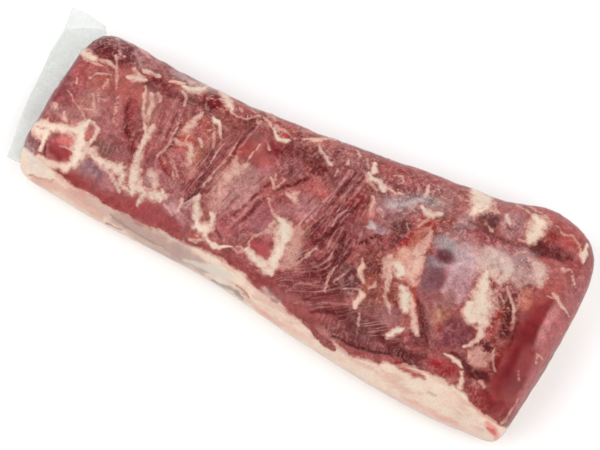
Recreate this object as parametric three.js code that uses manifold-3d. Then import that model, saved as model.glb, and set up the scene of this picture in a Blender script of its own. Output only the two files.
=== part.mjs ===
// A whole boneless beef striploin, packed tight in a clear bag and lying on its fat cap.
//
// Millimetres, +Z up. X runs along the loin, from the narrow rib end (-X) to the wide rump end (+X).
// The trimmed fat edge is on the -Y side and the chine side, where the backbone was, on the +Y side.
// The top is the boned side, with the hollows that ribs and vertebrae left. The flat underside is fat.
// Three solids: the lean muscle, the layer of fat under it that wraps up the near side, and the loose
// end of the bag, which stands out past the rib end.

import * as THREE from "three";
import Module from "manifold-3d";

// Driving dimensions.
const RIB_END_X = -258;
const RUMP_END_X = 254;
const MIDDLE_STEP = 9.5; // distance between cross-sections, away from the ends
const END_STEPS = 5; // cross-sections round each end's edge
const END_DOME = 3; // how far the soft cut faces bulge
const GAP = 0.3; // between pieces that touch

const TOP_POINTS = 15; // points of a cross-section on each upper quarter
const BASE_POINTS = 8; // points of a cross-section on each lower quarter
const NEAR_WIDEST_Z = 24;
const FAR_WIDEST_Z = 37;
const SQUARENESS = { topNear: 2.25, topFar: 2.6, baseNear: 3.6, baseFar: 3.2 }; // superellipse exponents
const BASE_TRIM = 1.3; // what the table flattens off the round underside

// The cross-section at stations along the loin: widest y on each side, and the height of the crown.
const STATIONS = [
  { x: -258, near: -68, far: 87, crown: 18, height: 72 },
  { x: -225, near: -70, far: 89, crown: 18, height: 76 },
  { x: -180, near: -74, far: 85, crown: 16, height: 75 },
  { x: -110, near: -76, far: 83, crown: 14, height: 74 },
  { x: -50, near: -78, far: 85, crown: 12, height: 73 },
  { x: 35, near: -90, far: 94, crown: 12, height: 74 },
  { x: 110, near: -98, far: 101, crown: 14, height: 75 },
  { x: 160, near: -102, far: 107, crown: 20, height: 76 },
  { x: 190, near: -102, far: 117, crown: 22, height: 75 },
  { x: 225, near: -99, far: 114, crown: 22, height: 72 },
  { x: 254, near: -98, far: 110, crown: 22, height: 68 },
];

// How far each edge of the two ends is rounded.
const RIB_EDGES = { top: 15, base: 8, near: 20, far: 24 };
const RUMP_EDGES = { top: 16, base: 9, near: 8, far: 40 };
const RUMP_ROUND = 25; // length over which the cross-sections stand close at the rump end

// The rump end leans off square on the near side of a line, and the rib end's near corner stands out.
const RUMP_SLANT = { slope: 0.085, length: 80, startsAtY: 40 };
const RIB_CORNER = { reach: 8, length: 50, startsAtY: -14, fullAtY: -58 };

// The top's hollows and swellings. A groove follows its points, and its depth fades over its width. They
// fade out down the sides, between two heights.
const RELIEF_FADE_Z = { none: 30, full: 62 };
const GROOVES = [
  { name: "chine muscle's lower edge", depth: 3.5, width: 8, path: [[-196, 50], [-150, 54], [-60, 52]] },
  { name: "rib gap 1", depth: 3, width: 7, path: [[-188, 28], [-180, 8], [-160, -18]] },
  { name: "rib gap 2", depth: 2, width: 8, path: [[-132, 18], [-124, -14], [-116, -34]] },
  { name: "rib gap 3", depth: 2.5, width: 7, path: [[-98, 40], [-94, 4], [-92, -30]] },
  { name: "rib gap 4", depth: 2.5, width: 7, path: [[-34, 14], [-46, -10], [-54, -34]] },
  { name: "middle hollow", depth: 3, width: 10, path: [[26, 44], [34, 8], [46, -34], [84, -62]] },
  { name: "last rib's bed", depth: 4, width: 9, path: [[104, 34], [96, 8], [112, -22], [134, -50]] },
  { name: "hip joint's bed", depth: 4.5, width: 9, path: [[190, 22], [204, -6], [203, -38], [194, -62]] },
  { name: "under the chine lobe", depth: 5.5, width: 9, path: [[176, 62], [208, 67], [234, 66]] },
  { name: "lean cleft", depth: 3, width: 7, path: [[126, -18], [138, -36], [152, -52]] },
];
const SWELLINGS = [
  { name: "chine lump at the rib end", height: 4, at: [-226, 64], size: [22, 15] },
  { name: "chine lump past the second rib", height: 2.5, at: [-112, 64], size: [24, 14] },
  { name: "chine lump in the middle", height: 3, at: [-14, 64], size: [32, 15] },
  { name: "chine lump before the rump", height: 2.5, at: [72, 74], size: [24, 14] },
  { name: "chine lump by the rump", height: 3, at: [142, 78], size: [24, 15] },
  { name: "chine lobe", height: 5, at: [206, 88], size: [30, 16] },
  { name: "silver skin over the last vertebra", height: 4.5, at: [148, 24], size: [26, 28] },
  { name: "rump lean", height: 2.5, at: [226, -24], size: [14, 44] },
  { name: "fat ridge", height: 3, at: [2, -38], size: [12, 26] },
];

// The fat layer: its thickness under the loin, and where its edge runs along the near side, as a height
// and a distance in from the widest line.
const FAT_THICKNESS = 13;
const FAT_FAR_THIN = 3; // how much thinner it is at the far edge
const FAT_WRAP_FADE = 9; // how fast the wrapped-up layer thins to the thickness under the loin
const FAT_EDGE = [
  { x: -258, z: 53, inset: 14 },
  { x: -204, z: 51, inset: 10 },
  { x: -150, z: 48, inset: 8 },
  { x: -80, z: 49, inset: 10 },
  { x: -42, z: 52, inset: 13 },
  { x: 0, z: 50, inset: 10 },
  { x: 60, z: 47, inset: 8 },
  { x: 102, z: 45, inset: 7 },
  { x: 130, z: 54, inset: 17 },
  { x: 160, z: 60, inset: 28 },
  { x: 182, z: 60, inset: 28 },
  { x: 202, z: 56, inset: 24 },
  { x: 222, z: 50, inset: 15 },
  { x: 254, z: 43, inset: 9 },
];

// The space below the seam, as a block that is larger than the loin. Its columns stand closer together on
// the near side, where the fat wraps up.
const SEAM_BLOCK = { halfLength: 340, nearY: -125, width: 265, floorZ: -20, topZ: 95, rows: 42, columns: 20 };
const SEAM_CROWDING = 1.35;

// The loose bag end: a wavy sheet between the rib end and a line of points, at half the loin's height.
const FILM_THICKNESS = 0.9;
const FILM_HEIGHT = 34;
const FILM_WAVE = 2.2;
const FILM_WAVES = [
  { height: 0.6, across: 17, outwards: 2 },
  { height: 1, across: 7.3, outwards: -1.3 },
];
const FILM_ROOT_X = -238;
const FILM_ROOT_SHORTER = 9; // than the tip, at the far side
const FILM_TIP = [
  { y: -62, x: -271 },
  { y: -30, x: -279 },
  { y: 10, x: -285 },
  { y: 50, x: -291 },
  { y: 86, x: -293 },
  { y: 100, x: -297 },
];
const FILM_ROWS = 26;
const FILM_COLUMNS = 12;

// Smooth value at a place along stations sorted by their key, held level past both ends.
function along(stations, key, value, place) {
  const last = stations.length - 1;
  if (place <= stations[0][key]) return stations[0][value];
  if (place >= stations[last][key]) return stations[last][value];
  const i = stations.findIndex((s) => s[key] > place) - 1;
  const at = (k) => stations[THREE.MathUtils.clamp(k, 0, last)];
  const slope = (k) => {
    const run = at(k + 1)[key] - at(k - 1)[key];
    return (at(k + 1)[value] - at(k - 1)[value]) / run;
  };
  const run = at(i + 1)[key] - at(i)[key];
  const t = (place - at(i)[key]) / run;
  const start = (1 + 2 * t) * (1 - t) ** 2 * at(i)[value] + t * (1 - t) ** 2 * run * slope(i);
  const end = t * t * (3 - 2 * t) * at(i + 1)[value] + t * t * (t - 1) * run * slope(i + 1);
  return start + end;
}

// How far an edge rounded with a radius has drawn in, at a distance from the end face.
function drawnIn(radius, distance) {
  if (distance >= radius) return 0;
  return radius - Math.sqrt(radius ** 2 - (radius - distance) ** 2);
}

function distanceToPath(x, y, path) {
  const point = new THREE.Vector3(x, y, 0);
  const nearest = new THREE.Vector3();
  let least = Infinity;
  for (let i = 1; i < path.length; i++) {
    const stretch = new THREE.Line3(
      new THREE.Vector3(...path[i - 1], 0),
      new THREE.Vector3(...path[i], 0),
    );
    stretch.closestPointToPoint(point, true, nearest);
    least = Math.min(least, nearest.distanceTo(point));
  }
  return least;
}

// Height added to the top by its grooves and swellings.
function relief(x, y) {
  let height = 0;
  for (const groove of GROOVES) {
    height -= groove.depth * Math.exp(-((distanceToPath(x, y, groove.path) / groove.width) ** 2));
  }
  for (const { at, size, height: rise } of SWELLINGS) {
    const away = ((x - at[0]) / size[0]) ** 2 + ((y - at[1]) / size[1]) ** 2;
    height += rise * Math.exp(-away);
  }
  return height;
}

// Evenly spaced points on a quarter of a superellipse, from its side (1, 0) towards its top (0, 1).
function quarter(squareness, count) {
  const fine = 200; // straight steps that stand for the curve while its length is measured
  const points = [];
  for (let i = 0; i <= fine; i++) {
    const angle = (i / fine) * (Math.PI / 2);
    const y = Math.cos(angle) ** (2 / squareness);
    points.push(new THREE.Vector2(i === fine ? 0 : y, Math.sin(angle) ** (2 / squareness)));
  }
  const lengths = [0];
  for (let i = 1; i <= fine; i++) lengths.push(lengths[i - 1] + points[i].distanceTo(points[i - 1]));
  return Array.from({ length: count }, (_, k) => {
    const wanted = (lengths[fine] * k) / count;
    const i = Math.max(1, lengths.findIndex((l) => l >= wanted));
    const t = (wanted - lengths[i - 1]) / (lengths[i] - lengths[i - 1]);
    return points[i - 1].clone().lerp(points[i], t);
  });
}

// One cross-section, anticlockwise seen from the rump end: far side, crown, near side, underside.
function section(x, grow) {
  const fromRib = x - RIB_END_X;
  const fromRump = RUMP_END_X - x;
  const inset = (edge) => drawnIn(RIB_EDGES[edge], fromRib) + drawnIn(RUMP_EDGES[edge], fromRump);
  const crown = along(STATIONS, "x", "crown", x);
  const top = along(STATIONS, "x", "height", x) - inset("top") + grow;
  const base = inset("base") - BASE_TRIM - grow;
  const near = crown - along(STATIONS, "x", "near", x) - inset("near") + grow;
  const far = along(STATIONS, "x", "far", x) - crown - inset("far") + grow;
  const points = [];
  const place = (side, widestZ, limitZ) => (p) => {
    points.push([crown + side * p.x, widestZ + (limitZ - widestZ) * p.y]);
  };
  const quarters = [
    [far, FAR_WIDEST_Z, top, SQUARENESS.topFar, TOP_POINTS, false],
    [-near, NEAR_WIDEST_Z, top, SQUARENESS.topNear, TOP_POINTS, true],
    [-near, NEAR_WIDEST_Z, base, SQUARENESS.baseNear, BASE_POINTS, false],
    [far, FAR_WIDEST_Z, base, SQUARENESS.baseFar, BASE_POINTS, true],
  ];
  for (const [side, widestZ, limitZ, squareness, count, fromTop] of quarters) {
    const even = quarter(squareness, count);
    // A quarter that starts at the crown or the base holds that point and leaves its side out.
    const run = fromTop ? [new THREE.Vector2(0, 1), ...even.slice(1).reverse()] : even;
    run.forEach(place(side, widestZ, limitZ));
  }
  const { smoothstep } = THREE.MathUtils;
  const slant = RUMP_SLANT.slope * smoothstep(x, RUMP_END_X - RUMP_SLANT.length, RUMP_END_X);
  const corner = RIB_CORNER.reach * (1 - smoothstep(x, RIB_END_X, RIB_END_X + RIB_CORNER.length));
  return points.map(([y, z]) => {
    const leaning = slant * Math.min(y - RUMP_SLANT.startsAtY, 0);
    const standingOut = corner * smoothstep(-y, -RIB_CORNER.startsAtY, -RIB_CORNER.fullAtY);
    const placedX = x + leaning - standingOut;
    const shown = smoothstep(z, RELIEF_FADE_Z.none, RELIEF_FADE_Z.full);
    const height = Math.max(z + shown * relief(placedX, y), 0);
    return new THREE.Vector3(placedX, y, height);
  });
}

// Where the cross-sections stand: closer together round the ends' edges.
function sectionPlaces() {
  const rounding = (radius) =>
    Array.from({ length: END_STEPS }, (_, k) => radius * (1 - Math.cos((k / END_STEPS) * (Math.PI / 2))));
  const ribStart = rounding(RIB_EDGES.far).map((d) => RIB_END_X + d);
  const rumpStart = rounding(RUMP_ROUND).map((d) => RUMP_END_X - d);
  const first = RIB_END_X + RIB_EDGES.far;
  const last = RUMP_END_X - RUMP_ROUND;
  const steps = Math.round((last - first) / MIDDLE_STEP);
  const middle = Array.from({ length: steps + 1 }, (_, k) => first + ((last - first) * k) / steps);
  return [...ribStart, ...middle, ...rumpStart.reverse()];
}

// A closed solid through rings of points that all run the same way, with softly domed ends.
function loft(rings, dome) {
  const count = rings[0].length;
  const domed = (ring, outwards) => {
    const centre = ring.reduce((sum, p) => sum.add(p), new THREE.Vector3()).divideScalar(count);
    const shrunk = [0.7, 0.35].map((scale) =>
      ring.map((p) => {
        const inner = centre.clone().lerp(p, scale);
        inner.x += outwards * dome * (1 - scale ** 2);
        return inner;
      }),
    );
    centre.x += outwards * dome;
    return { shrunk, centre };
  };
  const start = domed(rings[0], -1);
  const end = domed(rings[rings.length - 1], 1);
  const all = [...start.shrunk.reverse(), ...rings, ...end.shrunk];
  const positions = [...all.flat(), start.centre, end.centre].flatMap((p) => p.toArray());
  const index = [];
  for (let r = 1; r < all.length; r++) {
    for (let k = 0; k < count; k++) {
      const a = (r - 1) * count + k;
      const b = (r - 1) * count + ((k + 1) % count);
      index.push(a, b, b + count, a, b + count, a + count);
    }
  }
  const startCentre = all.length * count;
  const lastRing = (all.length - 1) * count;
  for (let k = 0; k < count; k++) {
    const next = (k + 1) % count;
    index.push(startCentre, next, k);
    index.push(startCentre + 1, lastRing + k, lastRing + next);
  }
  return { positions, index };
}

// A closed sheet: a grid of lower points and the same grid of upper points, joined round the rim.
function sheet(rows, columns, lower, upper) {
  const count = (rows + 1) * (columns + 1);
  const positions = [];
  for (const face of [lower, upper]) {
    for (let r = 0; r <= rows; r++) {
      for (let c = 0; c <= columns; c++) positions.push(...face(r / rows, c / columns));
    }
  }
  const at = (r, c) => r * (columns + 1) + c;
  const index = [];
  for (let r = 0; r < rows; r++) {
    for (let c = 0; c < columns; c++) {
      const [a, b, d, e] = [at(r, c), at(r, c + 1), at(r + 1, c + 1), at(r + 1, c)];
      index.push(a, b, d, a, d, e);
      index.push(a + count, d + count, b + count, a + count, e + count, d + count);
    }
  }
  const rim = [];
  for (let c = 0; c < columns; c++) rim.push([at(0, c), at(0, c + 1)]);
  for (let r = 0; r < rows; r++) rim.push([at(r, columns), at(r + 1, columns)]);
  for (let c = columns; c > 0; c--) rim.push([at(rows, c), at(rows, c - 1)]);
  for (let r = rows; r > 0; r--) rim.push([at(r, 0), at(r - 1, 0)]);
  for (const [a, b] of rim) index.push(b, a, a + count, b, a + count, b + count);
  return { positions, index };
}

function seamHeight(x, y) {
  const near = along(STATIONS, "x", "near", x);
  const far = along(STATIONS, "x", "far", x);
  const across = (y - near) / (far - near);
  const level = FAT_THICKNESS - FAT_FAR_THIN * THREE.MathUtils.smoothstep(across, 0.5, 1);
  const wrap = along(FAT_EDGE, "x", "z", x) - level;
  const inwards = y - near - along(FAT_EDGE, "x", "inset", x);
  return Math.min(level + wrap * Math.exp(-inwards / FAT_WRAP_FADE), SEAM_BLOCK.topZ);
}

// All the space below the seam between fat and lean, moved up or down by an offset.
function belowSeam(offset) {
  const { halfLength, nearY, width, floorZ, rows, columns } = SEAM_BLOCK;
  const x = (v) => halfLength * (2 * v - 1);
  const y = (u) => nearY + width * u ** SEAM_CROWDING;
  return sheet(
    rows,
    columns,
    (v, u) => [x(v), y(u), floorZ],
    (v, u) => [x(v), y(u), seamHeight(x(v), y(u)) + offset],
  );
}

// The bag end's sheet, which starts inside the loin and is then cut off just clear of it.
function bagSheet() {
  const first = FILM_TIP[0].y;
  const last = FILM_TIP[FILM_TIP.length - 1].y;
  const point = (v, u, side) => {
    const tipY = first + (last - first) * v;
    const tip = along(FILM_TIP, "y", "x", tipY);
    const y = tipY - FILM_ROOT_SHORTER * v * (1 - u);
    const wave = FILM_WAVES.reduce((sum, w) => sum + w.height * Math.sin(v * w.across + u * w.outwards), 0);
    const z = FILM_HEIGHT + FILM_WAVE * u * wave + (side * FILM_THICKNESS) / 2;
    return [FILM_ROOT_X + (tip - FILM_ROOT_X) * u, y, z];
  };
  return sheet(
    FILM_ROWS,
    FILM_COLUMNS,
    (v, u) => point(v, u, -1),
    (v, u) => point(v, u, 1),
  );
}

const wasm = await Module();
wasm.setup();

function solid({ positions, index }) {
  const made = new wasm.Manifold(
    new wasm.Mesh({
      numProp: 3,
      vertProperties: new Float32Array(positions),
      triVerts: new Uint32Array(index),
    }),
  );
  if (made.volume() <= 0) throw new Error("a solid faces inwards");
  return made;
}

function mesh(name, body, material) {
  const { vertProperties, triVerts } = body.getMesh();
  const geometry = new THREE.BufferGeometry();
  geometry.setAttribute("position", new THREE.BufferAttribute(vertProperties, 3));
  geometry.setIndex(new THREE.BufferAttribute(triVerts, 1));
  geometry.computeVertexNormals();
  const made = new THREE.Mesh(geometry, material);
  made.name = name;
  return made;
}

const leanMaterial = new THREE.MeshStandardMaterial({ color: 0x8e3f3e, roughness: 0.35, metalness: 0 });
const fatMaterial = new THREE.MeshStandardMaterial({ color: 0xe2c8b8, roughness: 0.45, metalness: 0 });
const filmMaterial = new THREE.MeshStandardMaterial({ color: 0xe4e6e2, roughness: 0.2, metalness: 0 });
filmMaterial.transparent = true;
filmMaterial.opacity = 0.5;

function striploin() {
  const places = sectionPlaces();
  const loin = solid(loft(places.map((x) => section(x, 0)), END_DOME));
  const clearance = solid(loft(places.map((x) => section(x, GAP)), END_DOME + GAP));
  const lean = loin.subtract(solid(belowSeam(GAP / 2)));
  const fat = loin.intersect(solid(belowSeam(-GAP / 2)));
  const bag = solid(bagSheet()).subtract(clearance);
  const group = new THREE.Group();
  group.add(mesh("lean", lean, leanMaterial));
  group.add(mesh("fat_cap", fat, fatMaterial));
  group.add(mesh("bag_end", bag, filmMaterial));
  return group;
}

// The origin is the middle of the underside of the bounding box.
function stoodOnOrigin(group) {
  const box = new THREE.Box3().setFromObject(group);
  const centre = box.getCenter(new THREE.Vector3());
  group.position.set(-centre.x, -centre.y, -box.min.z);
  const placed = new THREE.Group();
  placed.add(group);
  return placed;
}

export default stoodOnOrigin(striploin());
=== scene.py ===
"""A whole boneless beef striploin in a clear shrink bag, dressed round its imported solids.

Lengths in the code are millimetres in the loin's own frame: x from the rib end (-) to the rump end (+),
y from the edge with the wrapped-up fat (-) to the chine side (+), z up from the table. Meshes are made
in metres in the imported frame. Screen colours are red, green and blue from 0 to 255.
"""

import math
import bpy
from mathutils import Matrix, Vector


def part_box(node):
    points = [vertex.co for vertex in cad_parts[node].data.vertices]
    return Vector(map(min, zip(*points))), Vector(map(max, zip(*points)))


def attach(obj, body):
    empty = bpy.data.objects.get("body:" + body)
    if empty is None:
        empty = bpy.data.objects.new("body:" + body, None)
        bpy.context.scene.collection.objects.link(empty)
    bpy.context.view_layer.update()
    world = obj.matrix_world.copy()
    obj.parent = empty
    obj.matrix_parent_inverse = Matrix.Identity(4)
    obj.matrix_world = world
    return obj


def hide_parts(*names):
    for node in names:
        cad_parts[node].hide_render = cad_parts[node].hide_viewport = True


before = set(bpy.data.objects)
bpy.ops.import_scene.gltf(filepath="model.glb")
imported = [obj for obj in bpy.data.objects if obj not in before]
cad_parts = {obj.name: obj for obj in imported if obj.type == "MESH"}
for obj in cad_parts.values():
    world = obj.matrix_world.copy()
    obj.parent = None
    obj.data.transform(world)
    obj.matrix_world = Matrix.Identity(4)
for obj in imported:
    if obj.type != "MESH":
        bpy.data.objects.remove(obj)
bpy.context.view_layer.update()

from types import SimpleNamespace

import bmesh
import bpy
import numpy as np
from bpy.props import FloatProperty, FloatVectorProperty, IntProperty, PointerProperty
from mathutils import Matrix, Vector
from mathutils.bvhtree import BVHTree

bl_info = {
    "name": "Beef Striploin",
    "version": (1, 0, 0),
    "blender": (4, 5, 0),
    "location": "3D View > Sidebar > Striploin",
    "description": "Builds a packed whole beef striploin: lean, fat cap, film and its stage",
    "category": "Add Mesh",
}

MM = 0.001
PANEL_TAB = "Striploin"

# ---- The loin's frame and its grid -----------------------

RUMP_END_X = 254.3
CHINE_LOBE_Y = 116.7
LOIN_ZERO = np.array(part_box("lean")[1]) - np.array([RUMP_END_X, CHINE_LOBE_Y, 0]) * MM
LOIN_ZERO[2] = 0.0

# A flat plate inside the loin. The skin's grid spreads outwards from it in all directions.
CORE_Z = 33.0
CORE_X = (-222.0, 216.0)
CORE_NEAR_Y = (-36.0, -56.0)
CORE_FAR_Y = (54.0, 76.0)
FAN = 30.0
FAN_ANGLE = math.radians(66)
# How many cells by the ends and by the long sides fan out over the plate's rim.
MARGIN_CELLS = (20, 14)
CAST_FROM = 300.0
UNDER_GAP = 0.3

# The unit box's sides: the axes that each one's cells run along, and the axis and the quarter turns that
# bring it there from the top.
BOX_SIDES = (
    (0, 1, "X", 0),
    (0, 1, "X", 2),
    (0, 2, "X", 1),
    (0, 2, "X", -1),
    (2, 1, "Y", 1),
    (2, 1, "Y", -1),
)

# The seam of lean and fat: the share of the sides' rows below it, between which heights of the unit box
# it is looked for and in how many halvings, and how far from it the top and the underside count as being.
SEAM_ROW = 0.52
SEAM_SEARCH = (-0.95, 0.97)
SEAM_HALVINGS = 11
FAR_FROM_SEAM = 60.0

# Places in the unit box that are closer than this are the same, and this many digits tell others apart.
CLOSE = 1e-4
CLOSE_DIGITS = 4

# The point that the loin's features were drawn from, onto a plane at its crown. Past TIP_Y the plane tips
# down to the near side.
DRAWN_FROM = np.array([260.1, -498.4, 1430.8])
DRAWN_Z = 70.0
TIP_Y = -60.0
TIP_SLOPE = 1.2

# Large numbers that mix a cell's place and a seed into a random number, and the bits that are kept.
PLACE_FACTORS = (374761393, 668265263, 2147483647, 974634777)
MIXING_STEPS = ((13, 1274126177), (16, 2246822519))
BITS_32 = 0xFFFFFFFF
BITS_24 = 0xFFFFFF


def to_row(points):
    """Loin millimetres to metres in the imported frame."""
    return points * MM + LOIN_ZERO


def to_loin(points):
    """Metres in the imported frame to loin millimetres."""
    return (points - LOIN_ZERO) / MM


def blend(a, b, share):
    return a + (b - a) * share


def smoothstep(low, high, value):
    t = np.clip((value - low) / (high - low), 0, 1)
    return t * t * (3 - 2 * t)


def linear(red, green, blue):
    """A screen colour as linear light."""
    screen = np.array([red, green, blue], float) / 255
    return np.where(screen < 0.04045, screen / 12.92, ((screen + 0.055) / 1.055) ** 2.4)


def hashed(cell, seed):
    """A repeatable random number from 0 to 1 for each whole-numbered cell."""
    for_x, for_y, for_z, for_seed = PLACE_FACTORS
    n = (cell[..., 0] * for_x + cell[..., 1] * for_y + cell[..., 2] * for_z + seed * for_seed) & BITS_32
    for shift, factor in MIXING_STEPS:
        n = ((n ^ (n >> shift)) * factor) & BITS_32
    return (n & BITS_24) / BITS_24


def noise(points, size, seed):
    """Smooth noise from -1 to 1 with features of that size."""
    at = points / size
    cell = np.floor(at).astype(np.int64)
    t = at - cell
    t = t * t * (3 - 2 * t)
    total = np.zeros(len(points))
    for corner in np.ndindex(2, 2, 2):
        offset = np.array(corner)
        weight = np.prod(np.where(offset == 1, t, 1 - t), axis=1)
        total += weight * hashed(cell + offset, seed)
    return total * 2 - 1


def layered_noise(points, size, seed, layers=3):
    """Noise with finer noise on it, each layer half as wide and half as strong as the one before."""
    total = np.zeros(len(points))
    for layer in range(layers):
        total += noise(points, size / 2**layer, seed + layer) * 0.5**layer
    return total


# ---- The skin: one closed grid round the whole loin, laid on the solids ----


class Solids:
    """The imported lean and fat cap, for finding the loin's outside and the seam between them."""

    def __init__(self, *nodes):
        corners, faces, owner = [], [], []
        for number, name in enumerate(nodes):
            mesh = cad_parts[name].data
            start = len(corners)
            corners += [v.co.copy() for v in mesh.vertices]
            faces += [[start + i for i in p.vertices] for p in mesh.polygons]
            owner += [number] * len(mesh.polygons)
        self.owner = np.array(owner)
        self.tree = BVHTree.FromPolygons(corners, faces)

    def strike(self, origins, directions):
        """Where rays from far outside towards each origin meet the solids, and which node they meet."""
        unit = directions / np.linalg.norm(directions, axis=1)[:, None]
        starts = to_row(origins + unit * CAST_FROM)
        met = to_row(np.array(origins, float))
        which = np.zeros(len(origins), int)
        for i, (start, towards) in enumerate(zip(starts.tolist(), (-unit).tolist())):
            hit, _, face, _ = self.tree.ray_cast(start, towards)
            if hit is not None:
                met[i] = (hit.x, hit.y, hit.z)
                which[i] = self.owner[face]
        return to_loin(met), which


def unit_box(cells):
    """A box from -1 to 1 whose six sides are grids with the given numbers of cells along x, y and z."""
    bm = bmesh.new()
    for along, across, axis, quarters in BOX_SIDES:
        turn = Matrix.Rotation(quarters * math.pi / 2, 4, axis)
        lifted = turn @ Matrix.Translation((0, 0, 1))
        bmesh.ops.create_grid(
            bm, x_segments=cells[along], y_segments=cells[across], size=1.0, matrix=lifted
        )
    bmesh.ops.remove_doubles(bm, verts=bm.verts, dist=CLOSE)
    return bm


def coordinates(bm):
    return np.array([v.co[:] for v in bm.verts], float)


def place(bm, points):
    """Puts each vertex at its point."""
    for vert, point in zip(bm.verts, points.tolist()):
        vert.co = point


def smooth(bm, passes):
    for _ in range(passes):
        bmesh.ops.smooth_vert(
            bm, verts=bm.verts, factor=0.5, use_axis_x=True, use_axis_y=True, use_axis_z=True
        )


def fan_out(box, margins):
    """The point of the core plate that each point of the unit box spreads from, and its direction."""
    share = []
    reach = []
    for axis in (0, 1):
        limit = 1 - margins[axis]
        inner = np.clip(box[:, axis], -limit, limit) / limit
        share.append((inner + 1) / 2)
        past = np.maximum(np.abs(box[:, axis]) - limit, 0)
        reach.append(np.sign(box[:, axis]) * past / margins[axis] * FAN)
    x = blend(*CORE_X, share[0])
    near = blend(*CORE_NEAR_Y, share[0])
    far = blend(*CORE_FAR_Y, share[0])
    origins = np.stack([x, blend(near, far, share[1]), np.full(len(x), CORE_Z)], 1)
    rise = FAN * np.tan(np.clip(box[:, 2], -1, 1) * FAN_ANGLE)
    return origins, np.stack([reach[0], reach[1], rise], 1)


def on_side(box):
    """Which points of the unit box lie on its four upright sides."""
    return np.maximum(np.abs(box[:, 0]), np.abs(box[:, 1])) > 1 - CLOSE


def line_keys(box):
    """The x and y of points of the unit box, as keys of the upright lines of its sides."""
    return [tuple(key) for key in np.round(box[:, :2], CLOSE_DIGITS).tolist()]


def seam_heights(box, margins, solids):
    """For each upright line of the box's sides, the height at which it crosses from fat to lean."""
    lines = np.unique(np.round(box[on_side(box)][:, :2], CLOSE_DIGITS), axis=0)
    low = np.full(len(lines), SEAM_SEARCH[0])
    high = np.full(len(lines), SEAM_SEARCH[1])
    for _ in range(SEAM_HALVINGS):
        middle = (low + high) / 2
        origins, directions = fan_out(np.column_stack([lines, middle]), margins)
        _, which = solids.strike(origins, directions)
        lean = which == 0
        high = np.where(lean, middle, high)
        low = np.where(lean, low, middle)
    return dict(zip(line_keys(lines), ((low + high) / 2).tolist()))


class Skin:
    """The loin's outside as arrays: the unit box, the points, and how far each lies from the seam."""

    def __init__(self, cells, smoothing):
        margins = [2 * m / c for m, c in zip(MARGIN_CELLS, cells)]
        seam_row = 2 * round(cells[2] * SEAM_ROW / 2)
        self.cells = cells
        self.level = 2 * seam_row / cells[2] - 1
        self.bm = unit_box(cells)
        self.box = coordinates(self.bm)
        solids = Solids("lean", "fat_cap")
        warped = self.warp_to_seam(seam_heights(self.box, margins, solids))
        points, _ = solids.strike(*fan_out(warped, margins))
        place(self.bm, points)
        smooth(self.bm, smoothing)
        self.points = coordinates(self.bm)
        self.points[:, 2] = np.maximum(self.points[:, 2], 0)
        self.from_seam = self.seam_distances()

    def warp_to_seam(self, heights):
        """The unit box with the rows of its sides moved so that one of them lies on the seam."""
        warped = self.box.copy()
        side = on_side(self.box)
        seam = np.array([heights[key] for key in line_keys(self.box[side])])
        height = self.box[side, 2]
        below = -1 + (height + 1) * (seam + 1) / (self.level + 1)
        above = 1 - (1 - height) * (1 - seam) / (1 - self.level)
        warped[side, 2] = np.where(height < self.level, below, above)
        return warped

    def seam_distances(self):
        """How far each point lies from the seam: positive above it, negative below it."""
        side = on_side(self.box)
        on_seam = side & (np.abs(self.box[:, 2] - self.level) < CLOSE)
        seam_place = dict(zip(line_keys(self.box[on_seam]), self.points[on_seam]))
        nearest = np.array([seam_place[key] for key in line_keys(self.box[side])])
        away = np.linalg.norm(self.points[side] - nearest, axis=1)
        distances = np.where(self.box[:, 2] > 0, FAR_FROM_SEAM, -FAR_FROM_SEAM)
        distances[side] = np.where(self.box[side, 2] < self.level, -away, away)
        return distances

    def normals(self):
        place(self.bm, self.points)
        self.bm.normal_update()
        return np.array([v.normal[:] for v in self.bm.verts], float)


# ---- Features, drawn on the plane at the crown ----------
# A line is a list of x, y and half width.

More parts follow.
